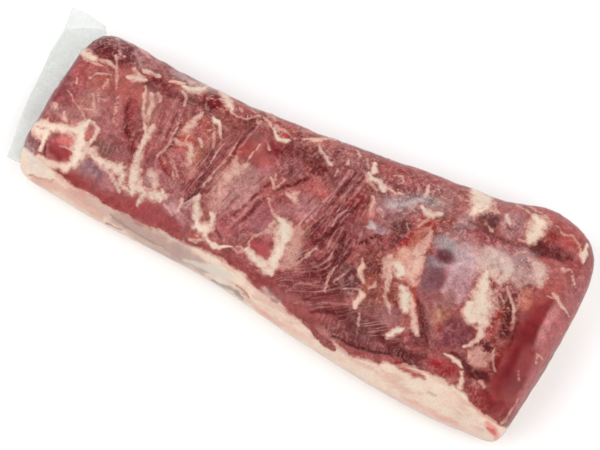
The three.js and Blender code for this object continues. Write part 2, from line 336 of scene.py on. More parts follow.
# Fat and tendon, with a painted highlight on the red island: a tone from -1, greenish white, through 0,
# cream, to 1, pink; an opacity; and its line.
FAT_LINES = [
    # rib end
    (0.1, 1.0, [(-250, 49, 3.5), (-243, 48, 4.5), (-236, 49, 2.6)]),
    (0.4, 0.7, [(-236, 49, 2), (-226, 51, 1.4), (-217, 49, 0.8)]),
    (0.8, 0.7, [(-246, 44, 1.4), (-238, 45, 1.2), (-228, 45, 0.8)]),
    (0.8, 0.8, [(-222, 60, 0.7), (-218, 52, 0.9), (-212, 45, 1.1), (-208, 38, 0.9), (-204, 30, 0.6)]),
    (0.2, 0.85, [(-202, 45, 1), (-196, 47, 2.6), (-190, 49, 2.8), (-184, 50, 1.4)]),
    (0.4, 0.7, [(-200, 55, 1.4), (-193, 53, 1.6), (-187, 53, 0.8)]),
    (0.4, 0.75, [(-192, 59, 1.4), (-184, 60, 2.2), (-176, 60, 1.4)]),
    (0.5, 0.7, [(-231, 29, 0.8), (-228, 36, 1), (-222, 40, 0.8), (-214, 41, 0.6)]),
    (0.7, 0.8, [(-216, 36, 0.5), (-215, 29, 1.1), (-214, 25, 0.6)]),
    (0.8, 0.9, [(-242, 24, 1), (-240, 20, 0.8), (-239, 17, 0.5)]),
    (0.5, 0.6, [(-222, 17, 0.6), (-216, 9, 0.8), (-211, 4, 0.8)]),
    (0.5, 0.6, [(-217, 18, 0.6), (-212, 11, 0.7)]),
    (0.5, 0.5, [(-212, 15, 0.6), (-208, 14, 0.6)]),
    (0.6, 0.6, [(-222, 0, 0.6), (-214, 2, 0.8), (-207, 1, 0.6)]),
    (0.7, 0.6, [(-245, 9, 0.5), (-232, 2, 0.7), (-222, -2, 0.6), (-215, -9, 0.5)]),
    (0.8, 0.6, [(-200, 26, 0.5), (-196, 14, 0.6), (-190, 2, 0.6)]),
    (0.8, 0.6, [(-196, 20, 0.4), (-192, 8, 0.5)]),
    (0.6, 0.7, [(-247, -8, 1), (-243, -12, 1.4)]),
    (0.7, 0.8, [(-235, -12, 1), (-231, -17, 1.6), (-227, -19, 0.8)]),
    (0.2, 1.0, [(-251, -34, 2.6), (-246, -33, 4.4), (-239, -31, 4.4), (-230, -27, 3.4),
                (-221, -24, 3.2)]),
    (-0.1, 1.0, [(-221, -24, 3.6), (-215, -22, 4.4), (-212, -14, 3.4), (-210, -8, 1.4)]),
    (0.1, 1.0, [(-248, -39, 4.2), (-242, -38, 5.4), (-238, -37, 4.4), (-236, -44, 2.4),
                (-235, -54, 1.6)]),
    (-0.2, 1.0, [(-212, -20, 4), (-209, -28, 5), (-204, -36, 5.6), (-201, -44, 4.6), (-201, -52, 3.6)]),
    (0.2, 1.0, [(-201, -51, 3.6), (-205, -57, 3.4), (-213, -60, 2.6), (-223, -62, 2.2), (-234, -61, 2)]),
    (0.3, 0.8, [(-206, -8, 1.4), (-200, -12, 1.8), (-198, -22, 1.8), (-200, -30, 2.4)]),
    # A pinkish white line over the red island: painted highlight.
    (0.9, 0.9, [(-220, -42, 0.9), (-216, -41, 1.4), (-212, -41, 0.8)]),
    (0.0, 0.7, [(-200, -36, 5), (-193, -34, 5), (-186, -37, 3)]),
    (-0.1, 0.8, [(-190, -37, 3), (-180, -39, 3.6), (-171, -38, 4.4), (-162, -38, 4.6), (-156, -42, 4)]),
    (0.3, 0.7, [(-173, -42, 1.4), (-166, -45, 2), (-160, -50, 1.8), (-152, -57, 1.2)]),
    # first rib gap
    (0.3, 0.7, [(-181, 45, 1), (-177, 34, 1.2), (-171, 21, 1.3), (-164, 11, 1.3), (-158, 2, 1)]),
    (0.1, 0.55, [(-174, 42, 1.5), (-168, 34, 2), (-166, 24, 1.8), (-163, 15, 1.2)]),
    (0.4, 0.5, [(-168, 44, 1.4), (-163, 38, 1)]),
    (0.2, 0.75, [(-156, 15, 1.2), (-156.5, 5, 3), (-156, -5, 2.4), (-154.5, -16, 2.4), (-151, -27, 3)]),
    (-0.3, 0.85, [(-151, -27, 3), (-147, -35, 4), (-143, -42, 4.6), (-142, -50, 3.6)]),
    (0.2, 0.75, [(-158, -44, 2), (-154, -50, 2.4), (-147, -52, 2.4)]),
    (-0.6, 0.95, [(-152, 61, 1.6), (-145, 60, 2.4), (-138, 64, 2.6), (-132, 70, 1.6)]),
    (-0.5, 0.35, [(-150, 68, 1.6), (-141, 67, 2), (-134, 70, 1.4)]),
    (0.5, 0.9, [(-166, 60, 0.8), (-158, 62, 1.3), (-152, 64, 1)]),
    (0.4, 0.7, [(-150, 57, 0.8), (-144, 52, 0.8), (-141, 44, 0.7)]),
    (0.1, 0.9, [(-118, 71, 2), (-111, 68, 4), (-105, 63, 3.2), (-101, 60, 1.4)]),
    (0.7, 0.8, [(-103, 59, 0.9), (-95, 57, 1), (-87, 58, 0.9), (-80, 62, 1), (-76, 66, 0.7)]),
    # second rib gap
    (0.4, 0.75, [(-123, 46, 1.4), (-125, 38, 2.2), (-126, 30, 3), (-128, 22, 2)]),
    (-0.2, 1.0, [(-113, 47, 1), (-108, 44, 2.2), (-104, 41, 1.8)]),
    (0.4, 0.9, [(-104, 41, 1.5), (-99, 36, 1.2), (-96, 31, 0.8)]),
    (0.5, 0.7, [(-105, 34, 0.6), (-101, 27, 0.8), (-98, 19, 0.6)]),
    (0.6, 0.7, [(-111, 32, 0.5), (-106, 36, 0.6)]),
    (0.8, 0.6, [(-131, 11, 1.6), (-127, 9, 1.8), (-122, 11, 1.4), (-119, 14, 1)]),
    (0.6, 0.8, [(-124, 20, 0.6), (-123, 14, 0.8)]),
    (0.4, 0.8, [(-113, 21, 1), (-109, 18, 1.4), (-108, 15, 0.8)]),
    (0.4, 0.75, [(-117, 12, 1.6), (-113, 4, 2.4), (-110, -3, 1.6)]),
    (0.6, 0.6, [(-137, 32, 0.6), (-136, 18, 0.7), (-136, 4, 1), (-137, -4, 0.9), (-139, -11, 0.9)]),
    (0.8, 0.7, [(-121, -12, 0.5), (-113, -18, 0.7), (-109, -22, 0.5)]),
    (0.8, 0.6, [(-118, -18, 0.5), (-112, -23, 0.5)]),
    (-0.5, 0.5, [(-138, -25, 2.4), (-131, -29, 3.4), (-127, -36, 2.6)]),
    (-0.6, 0.75, [(-140, -45, 3), (-132, -48, 4.4), (-125, -46, 4.2), (-118, -44, 3.6),
                  (-113, -42, 2.4)]),
    (-0.8, 0.75, [(-132, -48, 3), (-131, -55, 2.6), (-131, -60, 1.2)]),
    (-0.1, 0.9, [(-120, -38, 1), (-116, -42, 2), (-114, -47, 1.4)]),
    (0.6, 0.7, [(-99, -37, 0.8), (-97, -43, 1.4), (-97, -50, 1)]),
    (0.9, 0.6, [(-110, -48, 0.6), (-104, -51, 0.9), (-98, -56, 0.6)]),
    # third rib gap and the middle
    (0.3, 0.6, [(-81, 34, 0.5), (-82, 22, 0.7), (-84, 5, 0.7), (-87, -8, 0.7), (-88, -19, 0.6)]),
    (0.4, 0.7, [(-92, 32, 0.4), (-93, 16, 0.5), (-93, 5, 0.4)]),
    (-0.7, 0.85, [(-87, -26, 1.6), (-86, -33, 3), (-82, -40, 3.4), (-79, -47, 2.6)]),
    (0.2, 1.0, [(-78, -48, 1.8), (-75, -54, 3), (-70, -55, 4.6), (-66, -52, 5), (-64, -58, 3)]),
    (-0.2, 0.85, [(-70, -37, 1.4), (-66, -42, 2.2), (-63, -50, 3)]),
    (0.7, 0.9, [(-76, -66, 0.9), (-70, -65, 1.2), (-65, -62, 0.9)]),
    (-0.2, 0.9, [(-61, -60, 1.4), (-54, -62, 1.1), (-47, -61, 1.1), (-42, -58, 1), (-38, -56, 0.8)]),
    (0.5, 0.55, [(-75, 21, 1.4), (-73, 13, 2.6), (-69, 9, 4), (-65, 13, 2.6), (-63, 20, 1.4)]),
    (0.3, 0.5, [(-70, 6, 2.2), (-72, -2, 2.4), (-72, -7, 1.6)]),
    (0.6, 0.6, [(-76, -8, 0.8), (-74, -14, 0.9), (-71, -20, 0.9), (-68, -25, 0.6)]),
    (0.8, 0.7, [(-62, 42, 0.4), (-64, 30, 0.5), (-64, 20, 0.5)]),
    (0.8, 0.6, [(-58, 46, 0.5), (-52, 42, 0.6)]),
    (-0.9, 1.0, [(-58, 60, 0.8), (-54, 56, 1.3), (-48, 54, 1.6), (-43, 55, 1.4), (-41, 58, 0.7)]),
    (1.0, 0.9, [(-58, 62, 0.7), (-50, 63.5, 1), (-42, 62, 0.8)]),
    (0.5, 0.8, [(-72, 66, 0.8), (-65, 64, 1.2), (-60, 60, 0.7)]),
    (0.6, 0.7, [(-72, 71, 0.6), (-65, 72, 0.9), (-61, 67, 0.6)]),
    (0.7, 0.6, [(-86, 70, 0.6), (-80, 67, 0.7)]),
    (0.8, 0.9, [(-38, 18, 0.9), (-33, 12, 1.3), (-30, 9, 0.9)]),
    (0.8, 0.8, [(-30, 10, 0.8), (-28, 16, 0.7), (-26, 22, 0.5)]),
    (0.7, 0.6, [(-36, 24, 0.6), (-34, 17, 0.8)]),
    (0.9, 0.6, [(-31, 0, 0.8), (-26, -6, 0.9), (-20, -12, 1), (-14, -15, 0.8)]),
    (0.6, 0.75, [(-18, 10, 1.4), (-13, 11, 3), (-9, 8, 2)]),
    (0.7, 0.7, [(-12, 12, 1.2), (-9, 18, 0.7)]),
    (0.7, 0.6, [(-34, -54, 0.8), (-30, -52, 0.7), (-27, -56, 0.9), (-31, -60, 0.7), (-38, -57, 0.7)]),
    # the middle's large fat and its ring
    (-0.4, 0.95, [(-14, -14, 2), (-9, -15, 4), (-4, -20, 6.5), (-2, -28, 6.5),
                  (0, -37, 5), (1, -46, 4.6), (2, -56, 4)]),
    (-0.3, 0.85, [(-24, -54, 2), (-17, -57, 3), (-9, -59, 3.6), (-2, -61, 3.2), (3, -62, 1.6)]),
    (0.4, 0.5, [(-16, -18, 1.4), (-15, -27, 2.4), (-20, -34, 2), (-24, -38, 1.6)]),
    (0.2, 0.6, [(-25, -39, 0.6), (-25, -47, 0.6), (-23, -52, 0.8)]),
    (0.3, 1.0, [(38, 71, 1.6), (40, 67, 2.6), (40, 63, 1.6)]),
    (-0.7, 0.9, [(37, 61, 1.4), (43, 58, 2), (50, 58, 2.4), (55, 55, 2.6), (57, 52, 1.2)]),
    (0.6, 0.8, [(36, 59, 0.9), (42, 54, 1), (48, 51, 1.2), (52, 50, 0.8)]),
    (0.3, 0.7, [(60, 56, 0.8), (66, 55, 1.3), (73, 58, 0.9)]),
    (0.6, 0.9, [(-30, 65, 0.8), (-22, 68, 1.3), (-14, 72, 1.1), (-10, 74, 0.7)]),
    (-0.6, 0.8, [(-15, 65, 0.9), (-9, 61, 1.3), (-2, 57, 1.3), (5, 53, 0.9)]),
    (-0.6, 0.7, [(-10, 75, 0.9), (-4, 76, 1)]),
    (0.5, 0.7, [(13, 67, 0.6), (17, 61, 0.9)]),
    (0.2, 0.7, [(17, 77, 1), (21, 73, 1.2), (22, 69, 0.8)]),
    (0.7, 0.6, [(28, 73, 0.6), (34, 66, 0.7)]),
    (0.9, 0.7, [(58, 70, 0.6), (64, 74, 0.7), (68, 69, 0.7), (64, 64, 0.6)]),
    (0.8, 0.7, [(50, 42, 1.2), (53, 37, 1.6), (54, 30, 1.2)]),
    (0.9, 0.5, [(60, 34, 0.9), (66, 30, 0.9)]),
    (0.5, 0.7, [(10, 51, 0.6), (12, 46, 0.9)]),
    (0.5, 0.25, [(8, -16, 3), (11, -30, 5), (12, -46, 4), (10, -54, 2)]),
    (0.7, 0.5, [(29, -24, 0.8), (25, -34, 0.9), (20, -44, 0.8), (14, -52, 0.7)]),
    (0.9, 0.5, [(52, -28, 0.5), (49, -42, 0.6), (53, -56, 0.6)]),
    (0.8, 0.5, [(61, -34, 0.5), (56, -46, 0.6)]),
    # the last rib's fat
    (0.7, 0.9, [(90, 77, 0.9), (92, 71, 1.4), (92, 66, 0.8)]),
    (-0.3, 0.9, [(93, 54, 1.2), (99, 51, 2.2), (106, 52, 2.4), (112, 57, 1.4)]),
    (0.8, 0.6, [(111, 38, 1), (111, 28, 2.6), (110, 18, 3.8)]),
    (0.6, 0.75, [(110, 18, 3.8), (111, 8, 5), (115, -2, 4)]),
    (0.8, 0.6, [(97, 8, 3.6), (104, 3, 6), (110, 0, 6)]),
    (0.5, 0.75, [(89, 0, 2), (91, -7, 4.4), (95, -13, 4.6), (97, -21, 2.6), (100, -29, 1.8)]),
    (-0.3, 1.0, [(98, -5, 4), (105, -7, 5), (104, -12, 3)]),
    (0.7, 0.7, [(109, -5, 4.4), (115, -9, 4.4), (119, -15, 2)]),
    (-0.5, 0.95, [(110, -22, 2), (115, -25, 4), (119, -32, 3.8), (123, -39, 3)]),
    (0.5, 0.85, [(121, -24, 1.2), (126, -33, 1.6), (132, -42, 2), (138, -50, 2.6), (143, -54, 2)]),
    (0.6, 0.8, [(100, -28, 1.2), (101, -35, 1.2), (107, -41, 1), (112, -47, 0.9)]),
    (0.6, 0.9, [(69, -13, 1), (72, -19, 1.8), (71, -25, 1.2)]),
    (0.5, 0.9, [(71, -25, 1.2), (75, -30, 1.6), (79, -34, 1.2)]),
    (0.6, 0.95, [(80, -41, 1), (84, -45, 2), (83, -51, 1.8), (84, -57, 1)]),
    (0.7, 0.7, [(79, -40, 0.6), (73, -42, 0.6), (66, -47, 0.5)]),
    (0.7, 0.8, [(86, -36, 0.8), (89, -32, 1.2), (88, -28, 0.8)]),
    (0.1, 1.0, [(129, -56, 1.4), (125, -59, 2.8), (120, -64, 1.8)]),
    (0.7, 0.6, [(89, -60, 0.7), (92, -66, 0.6)]),
    (0.9, 0.6, [(104, 46, 0.8), (100, 40, 0.9), (98, 34, 0.7)]),
    # chine side by the rump
    (0.1, 1.0, [(126, 91, 2), (133, 87, 7), (138, 82, 8), (137, 75, 5), (136, 69, 2.4)]),
    (0.1, 1.0, [(134, 89, 3.5), (142, 87, 4), (144, 80, 2.4), (141, 73, 1.2)]),
    (0.6, 0.6, [(148, 88, 1.4), (150, 83, 1.4), (155, 80, 0.8)]),
    (0.2, 0.8, [(153, 64.5, 0.8), (157, 62.5, 1.1)]),
    (-0.9, 0.8, [(163, 81, 1.6), (166, 78, 2.2), (169, 76, 1)]),
    (0.5, 0.6, [(172, 66, 0.6), (176, 64, 0.8)]),
    (0.3, 0.9, [(167, 94, 0.7), (176, 94.5, 1), (184, 92, 1), (189, 92, 1)]),
    (0.6, 0.7, [(178, 99, 0.7), (188, 98.5, 0.9), (197, 97, 0.7)]),
    (0.1, 1.0, [(186, 91, 3), (193, 88, 6), (193, 80, 7), (192, 73, 5), (192, 68, 2)]),
    (0.7, 0.6, [(182, 66, 0.6), (190, 68, 0.7)]),
    # over the last vertebra and beside the hip joint
    (-0.2, 0.95, [(171, 25, 2.4), (173, 16, 4.6), (176, 6, 7.6), (179, -4, 9), (180, -13, 8.6)]),
    (0.0, 0.95, [(171, -6, 3), (172, -17, 4), (178, -20, 4), (187, -17, 4)]),
    (0.3, 0.85, [(186, -20, 3), (189, -28, 2), (188, -36, 1.7), (185, -43, 1.3), (181, -46, 1)]),
    (-0.1, 0.45, [(162, 45, 3), (170, 42, 4), (167, 34, 4.4), (165, 27, 4)]),
    (-0.6, 0.55, [(178, 41, 3), (184, 37, 5), (186, 30, 5), (184, 24, 3)]),
    (-0.3, 0.45, [(172, 36, 3), (176, 28, 4), (173, 24, 3)]),
    (-0.6, 0.5, [(203, 52, 3), (209, 49, 4.4), (213, 43, 4.6), (215, 37, 3)]),
    (0.4, 0.6, [(189, 56, 0.7), (194, 58, 0.7)]),
    (0.5, 0.9, [(191, 21, 0.7), (198, 14, 1.1), (203, 8, 1.1), (207, 1, 1), (210, -5, 0.6)]),
    (0.6, 0.8, [(190, 12, 0.8), (193, 8, 1), (195, 5, 0.6)]),
    (0.8, 0.45, [(192, -42, 2.4), (199, -47, 4.4), (202, -51, 3.6), (195, -54, 2.4)]),
    (0.8, 0.7, [(188, -47, 1.2), (191, -52, 1.6)]),
    (0.6, 0.7, [(206, -36, 0.8), (208, -44, 1), (214, -52, 0.8)]),
    (0.4, 1.0, [(171, -59, 1), (177, -59.5, 1.7), (184, -61, 1.3), (188, -62.5, 0.6)]),
    (0.3, 1.0, [(190, -65, 1), (192, -68, 1.6), (192.5, -74, 2.6)]),
    (0.8, 0.7, [(206, -64, 0.6), (212, -66, 0.9)]),
    # rump lean and the chine lobe
    (0.7, 0.8, [(227, 58, 0.8), (230, 56, 1.1), (233, 60, 0.8)]),
    (0.8, 0.8, [(236, 59, 0.6), (241, 54, 0.7), (246, 49, 0.6)]),
    (0.5, 0.8, [(229, 34, 0.8), (236, 30, 1.3), (242, 26, 0.9), (249, 21, 0.8)]),
    (0.6, 0.6, [(226, 30, 0.7), (231, 30, 0.8)]),
    (0.9, 0.7, [(239, -23, 0.6), (246, -24, 0.6)]),
    (0.9, 0.7, [(241, -23, 0.6), (242, -30, 0.5)]),
    (0.1, 1.0, [(237, 89, 1), (238.5, 81, 2.4), (241, 73, 1.6)]),
    (0.9, 0.6, [(206, 93, 0.5), (214, 88, 0.7), (224, 90, 0.7), (232, 86, 0.7), (236, 79, 0.5)]),
    (0.9, 0.5, [(232, -42, 0.4), (236, -50, 0.4)]),
    (0.5, 0.5, [(243, -64, 0.4), (241.5, -74, 0.6), (239, -84, 0.8)]),
]

# Bare lean inside fat: the islands that fat rings, and the tongues of lean in the fat's edge. Each has its
# strength and its line.
LEAN_ISLANDS = [
    (1.0, [(-228, -46, 3), (-222, -48, 6), (-214, -47, 6), (-208, -43, 2)]),
    (0.95, [(-223, -35, 3.5), (-217, -35, 3.5)]),
    (1.0, [(-206, -13, 2.2), (-205, -19, 3.4), (-204, -26, 2)]),
    (0.7, [(-151, -42, 2.6)]),
    (1.0, [(-20, -42, 2.6), (-14, -43, 5), (-9, -48, 4.4), (-6, -53, 2)]),
    (0.9, [(-74, -43, 2.4)]),
    (1.0, [(47, -82, 2), (60, -84.5, 3.2), (72, -87, 3.2), (81, -88.5, 1.5)]),
    (0.8, [(92, -85, 1.4), (100, -86, 1.8)]),
    (1.0, [(160, -69, 2.4), (172, -69.5, 3), (184, -70.5, 2.4), (189, -71, 1)]),
    (0.9, [(198, -70, 3), (206, -76, 3.4), (222, -79, 4), (236, -80, 2.6)]),
]

# Patches of lean: x, y, their half lengths, a screen colour and how strongly they show.
LEAN_PATCHES = [
    (-200, 36, 30, 12, (174, 96, 90), 0.95),
    (-222, 30, 12, 9, (176, 98, 88), 0.9),
    (-240, 34, 12, 10, (172, 86, 86), 0.9),
    (-240, 10, 12, 14, (164, 86, 90), 0.9),
    (-218, 10, 12, 12, (184, 126, 118), 0.85),
    (-200, 8, 16, 16, (176, 106, 105), 0.9),
    (-211, 1, 7, 8, (190, 136, 128), 0.7),
    (-222, -12, 20, 8, (176, 118, 114), 0.85),
    (-246, -14, 6, 8, (170, 112, 112), 0.8),
    (-190, -8, 14, 12, (168, 104, 104), 0.85),
    (-186, -26, 12, 7, (140, 98, 88), 0.8),
    (-166, -26, 9, 10, (160, 96, 98), 0.8),
    (-150, 20, 10, 26, (180, 108, 104), 0.85),
    (-226, 66, 28, 13, (112, 46, 50), 1.0),
    (-190, 67, 14, 7, (156, 98, 98), 0.9),
    # Dark patches in the shallow groove under the chine ridge: deeper red with painted shade.
    (-172, 52, 16, 7, (124, 42, 44), 1.0),
    (-152, 49, 10, 4, (124, 42, 42), 0.9),
    (-253, 0, 4.5, 60, (136, 60, 70), 0.85),
    (-246, -52, 7, 6, (140, 84, 84), 0.9),
    (-185, -49, 20, 7, (158, 112, 116), 0.95),
    (-165, -54, 12, 6, (166, 104, 106), 0.9),
    (-195, -64, 18, 4, (148, 64, 64), 1.0),
    (-155, -67, 16, 4, (156, 72, 72), 1.0),
    (-218, -46, 13, 9, (156, 52, 56), 1.0),
    # The red island's bright top: pink lean with a painted soft highlight.
    (-219, -35, 7, 5, (198, 108, 104), 1.0),
    (-205, -18, 4.5, 9, (194, 112, 106), 1.0),
    (-120, -61, 32, 6, (154, 70, 72), 1.0),
    (-108, -54, 12, 5, (150, 68, 70), 1.0),
    (-72, -68, 14, 4, (150, 84, 82), 0.9),
    (-122, 60, 10, 8, (128, 34, 42), 1.0),
    (-135, 53, 8, 7, (116, 58, 52), 0.9),
    # Pale grey on the far edge: silver skin with painted highlights of the film.
    (-140, 66, 10, 6, (186, 150, 146), 0.6),
    (-84, 67, 16, 7, (154, 78, 74), 0.9),
    (-92, 50, 18, 7, (138, 66, 58), 0.95),
    (-80, 56, 5, 5, (98, 40, 38), 0.8),
    (-114, 36, 7, 10, (160, 76, 68), 0.95),
    (-104, 28, 6, 10, (170, 90, 80), 0.85),
    (-124, 14, 9, 8, (178, 98, 86), 0.9),
    (-111, 4, 6, 9, (196, 138, 116), 0.85),
    (-104, 8, 5, 12, (160, 90, 72), 0.8),
    (-124, -6, 9, 6, (168, 96, 96), 0.85),
    (-104, -10, 8, 6, (192, 124, 118), 0.8),
    (-120, -28, 14, 8, (176, 110, 110), 0.8),
    (-138, -20, 6, 12, (168, 96, 100), 0.8),
    (-134, -38, 8, 6, (180, 130, 124), 0.8),
    (-98, -46, 12, 9, (180, 122, 124), 0.9),
    (-86, -52, 8, 7, (164, 100, 100), 0.85),
    (-91, 10, 5, 26, (150, 82, 82), 0.9),
    (-74, -8, 8, 18, (190, 138, 126), 0.9),
    (-58, -2, 16, 22, (188, 136, 130), 0.95),
    (-52, -42, 14, 14, (160, 82, 86), 0.95),
    (-68, -24, 8, 12, (194, 142, 134), 0.9),
    (-70, 36, 8, 12, (160, 74, 70), 0.95),
    (-54, 30, 12, 9, (170, 88, 84), 0.95),
    (-48, 44, 10, 6, (130, 42, 50), 0.95),
    (-72, 52, 8, 6, (150, 80, 76), 0.8),
    (-44, 20, 8, 8, (178, 112, 114), 0.8),
    (-48, 67, 12, 8, (160, 74, 70), 0.9),
    (-66, 66, 10, 6, (158, 84, 80), 0.8),
    (-24, 70, 16, 7, (168, 86, 78), 0.95),
    (-14, 52, 20, 8, (118, 54, 52), 0.95),
    (-5, 42, 8, 6, (124, 36, 42), 0.9),
    (-34, 50, 6, 14, (124, 52, 54), 0.9),
    (-26, 34, 12, 8, (166, 100, 102), 0.8),
    (-26, -22, 12, 14, (160, 92, 98), 0.95),
    (-14, -5, 8, 6, (172, 110, 112), 0.85),
    (4, 28, 14, 8, (186, 98, 96), 0.95),
    (2, 6, 12, 12, (188, 126, 126), 0.9),
    (12, 64, 10, 7, (152, 76, 72), 0.9),
    (2, 66, 4, 7, (122, 40, 46), 0.9),
    (26, 66, 10, 8, (150, 78, 76), 0.85),
    (20, 56, 8, 8, (148, 80, 80), 0.8),
    (58, 74, 20, 9, (150, 62, 62), 0.95),
    (34, 78, 12, 4, (160, 78, 78), 0.8),
    (14, 44, 10, 10, (142, 72, 72), 0.9),
    (28, 44, 10, 14, (150, 86, 86), 0.8),
    (54, 48, 10, 3.5, (128, 58, 50), 0.95),
    (50, 36, 10, 10, (158, 84, 82), 0.7),
    (40, 30, 9, 10, (140, 56, 54), 0.95),
    (34, 8, 8, 16, (112, 48, 52), 0.9),
    (24, -12, 10, 12, (126, 48, 54), 0.9),
    (48, 6, 8, 14, (138, 68, 70), 0.9),
    (48, -18, 8, 16, (104, 38, 44), 0.9),
    (10, -20, 8, 12, (166, 102, 92), 0.9),
    (14, -40, 9, 12, (174, 132, 122), 0.9),
    (28, -36, 8, 14, (140, 68, 70), 0.85),
    (48, -44, 18, 16, (110, 44, 46), 0.95),
    (34, -62, 30, 8, (134, 56, 56), 0.95),
    (-16, -68, 30, 5, (152, 72, 72), 1.0),
    (28, -74, 24, 5, (158, 86, 84), 0.95),
    (70, -81, 12, 3, (178, 118, 112), 0.8),
    (-13, -46, 11, 10, (168, 74, 78), 1.0),
    (68, 34, 12, 10, (166, 106, 110), 0.9),
    (70, 18, 9, 5, (188, 148, 154), 0.85),
    (60, 8, 8, 8, (160, 92, 94), 0.85),
    (72, 4, 8, 8, (130, 56, 58), 0.9),
    (70, -12, 8, 12, (138, 66, 62), 0.9),
    (66, -38, 12, 16, (102, 46, 46), 0.95),
    (92, 76, 14, 8, (144, 64, 68), 0.9),
    (108, 74, 12, 8, (158, 100, 94), 0.9),
    (100, 64, 8, 6, (142, 118, 112), 0.9),
    (98, 62, 3, 3, (92, 70, 62), 0.9),
    (118, 54, 8, 7, (140, 68, 56), 0.95),
    (134, 58, 8, 10, (168, 130, 132), 0.9),
    (152, 70, 11, 9, (122, 62, 54), 0.95),
    (172, 76, 12, 12, (172, 122, 124), 0.9),
    (158, 53, 18, 4, (150, 58, 62), 0.95),
    (76, 34, 12, 10, (152, 98, 102), 0.9),
    (87, 27, 9, 9, (102, 58, 56), 0.95),
    (88, 16, 7, 8, (118, 54, 54), 0.9),
    (106, 44, 9, 6, (158, 66, 56), 0.95),
    (103, 26, 6, 12, (176, 92, 78), 0.95),
    (104, 0, 14, 14, (212, 146, 126), 0.9),
    (80, -14, 9, 16, (132, 66, 58), 0.9),
    (86, -18, 5, 8, (116, 48, 46), 0.9),
    (86, -34, 8, 10, (162, 88, 74), 0.8),
    (104, -32, 8, 10, (156, 92, 76), 0.85),
    (112, -36, 5, 6, (140, 76, 64), 0.85),
    (112, -50, 12, 9, (154, 100, 100), 0.9),
    (92, -50, 8, 8, (128, 74, 64), 0.85),
    (128, 31, 12, 7, (162, 144, 146), 0.9),
    (127, 10, 9, 9, (144, 114, 120), 0.9),
    (131, -4, 9, 14, (130, 86, 92), 0.95),
    (150, 22, 14, 18, (202, 166, 170), 0.9),
    (154, -2, 11, 14, (188, 144, 148), 0.9),
    (148, -16, 10, 10, (160, 106, 102), 0.85),
    (151, -30, 8, 10, (172, 108, 92), 0.8),
    (171, -38, 13, 14, (128, 64, 72), 1.0),
    (144, -56, 8, 6, (118, 52, 56), 0.9),
    (156, -56, 12, 6, (130, 62, 66), 0.9),
    (100, -66, 36, 7, (104, 42, 46), 0.95),
    (96, -76, 30, 4, (112, 50, 52), 0.9),
    (140, -72, 16, 4, (100, 36, 38), 0.95),
    (174, -68, 14, 4, (154, 44, 48), 1.0),
    (218, 88, 22, 10, (166, 76, 73), 0.95),
    (206, 84, 6, 9, (140, 52, 48), 0.9),
    (222, 80, 9, 6, (180, 88, 86), 0.9),
    (196, 100, 22, 5, (168, 76, 72), 0.9),
    # The groove under the chine lobe and its pit: deeper red with painted shade.
    (214, 69, 20, 7, (104, 42, 44), 0.95),
    (201, 65, 6, 6, (84, 40, 36), 0.95),
    (214, 58, 12, 4, (170, 80, 76), 0.9),
    (194, 54, 10, 8, (174, 126, 128), 0.9),
    # Pale patches, this and the next two: silver skin with painted sheen of the film over it.
    (210, 44, 9, 10, (196, 170, 168), 0.85),
    (174, 36, 16, 12, (204, 172, 168), 0.85),
    (198, 34, 8, 10, (198, 160, 154), 0.8),
    (212, 18, 7, 10, (192, 116, 98), 0.9),
    (200, 2, 8, 14, (112, 60, 50), 0.95),
    (206, -14, 4, 9, (86, 30, 30), 0.9),
    (195, -14, 4, 14, (162, 60, 54), 0.85),
    (214, -14, 5, 14, (130, 56, 52), 0.85),
    (208, -32, 10, 8, (132, 54, 46), 0.9),
    # A dark hollow: deeper red with painted shade.
    (200, -61, 14, 4, (110, 28, 30), 0.95),
    (230, -20, 14, 50, (138, 52, 54), 1.0),
    (226, -8, 8, 12, (124, 42, 46), 0.8),
    (234, -34, 7, 12, (150, 66, 66), 0.7),
    (222, -56, 8, 10, (126, 42, 46), 0.8),
    # A pale band down the rounded rump end: painted sheen of the film.
    (239, 6, 6, 24, (208, 144, 140), 0.85),
    (246, -10, 7, 60, (176, 102, 102), 0.85),
    (228, 46, 12, 16, (178, 96, 92), 0.9),
    (244, 44, 7, 26, (172, 104, 104), 0.85),
    (220, 30, 8, 10, (170, 86, 82), 0.8),
    (220, -74, 22, 7, (144, 56, 56), 0.95),
    (236, 66, 8, 10, (160, 80, 80), 0.85),
]
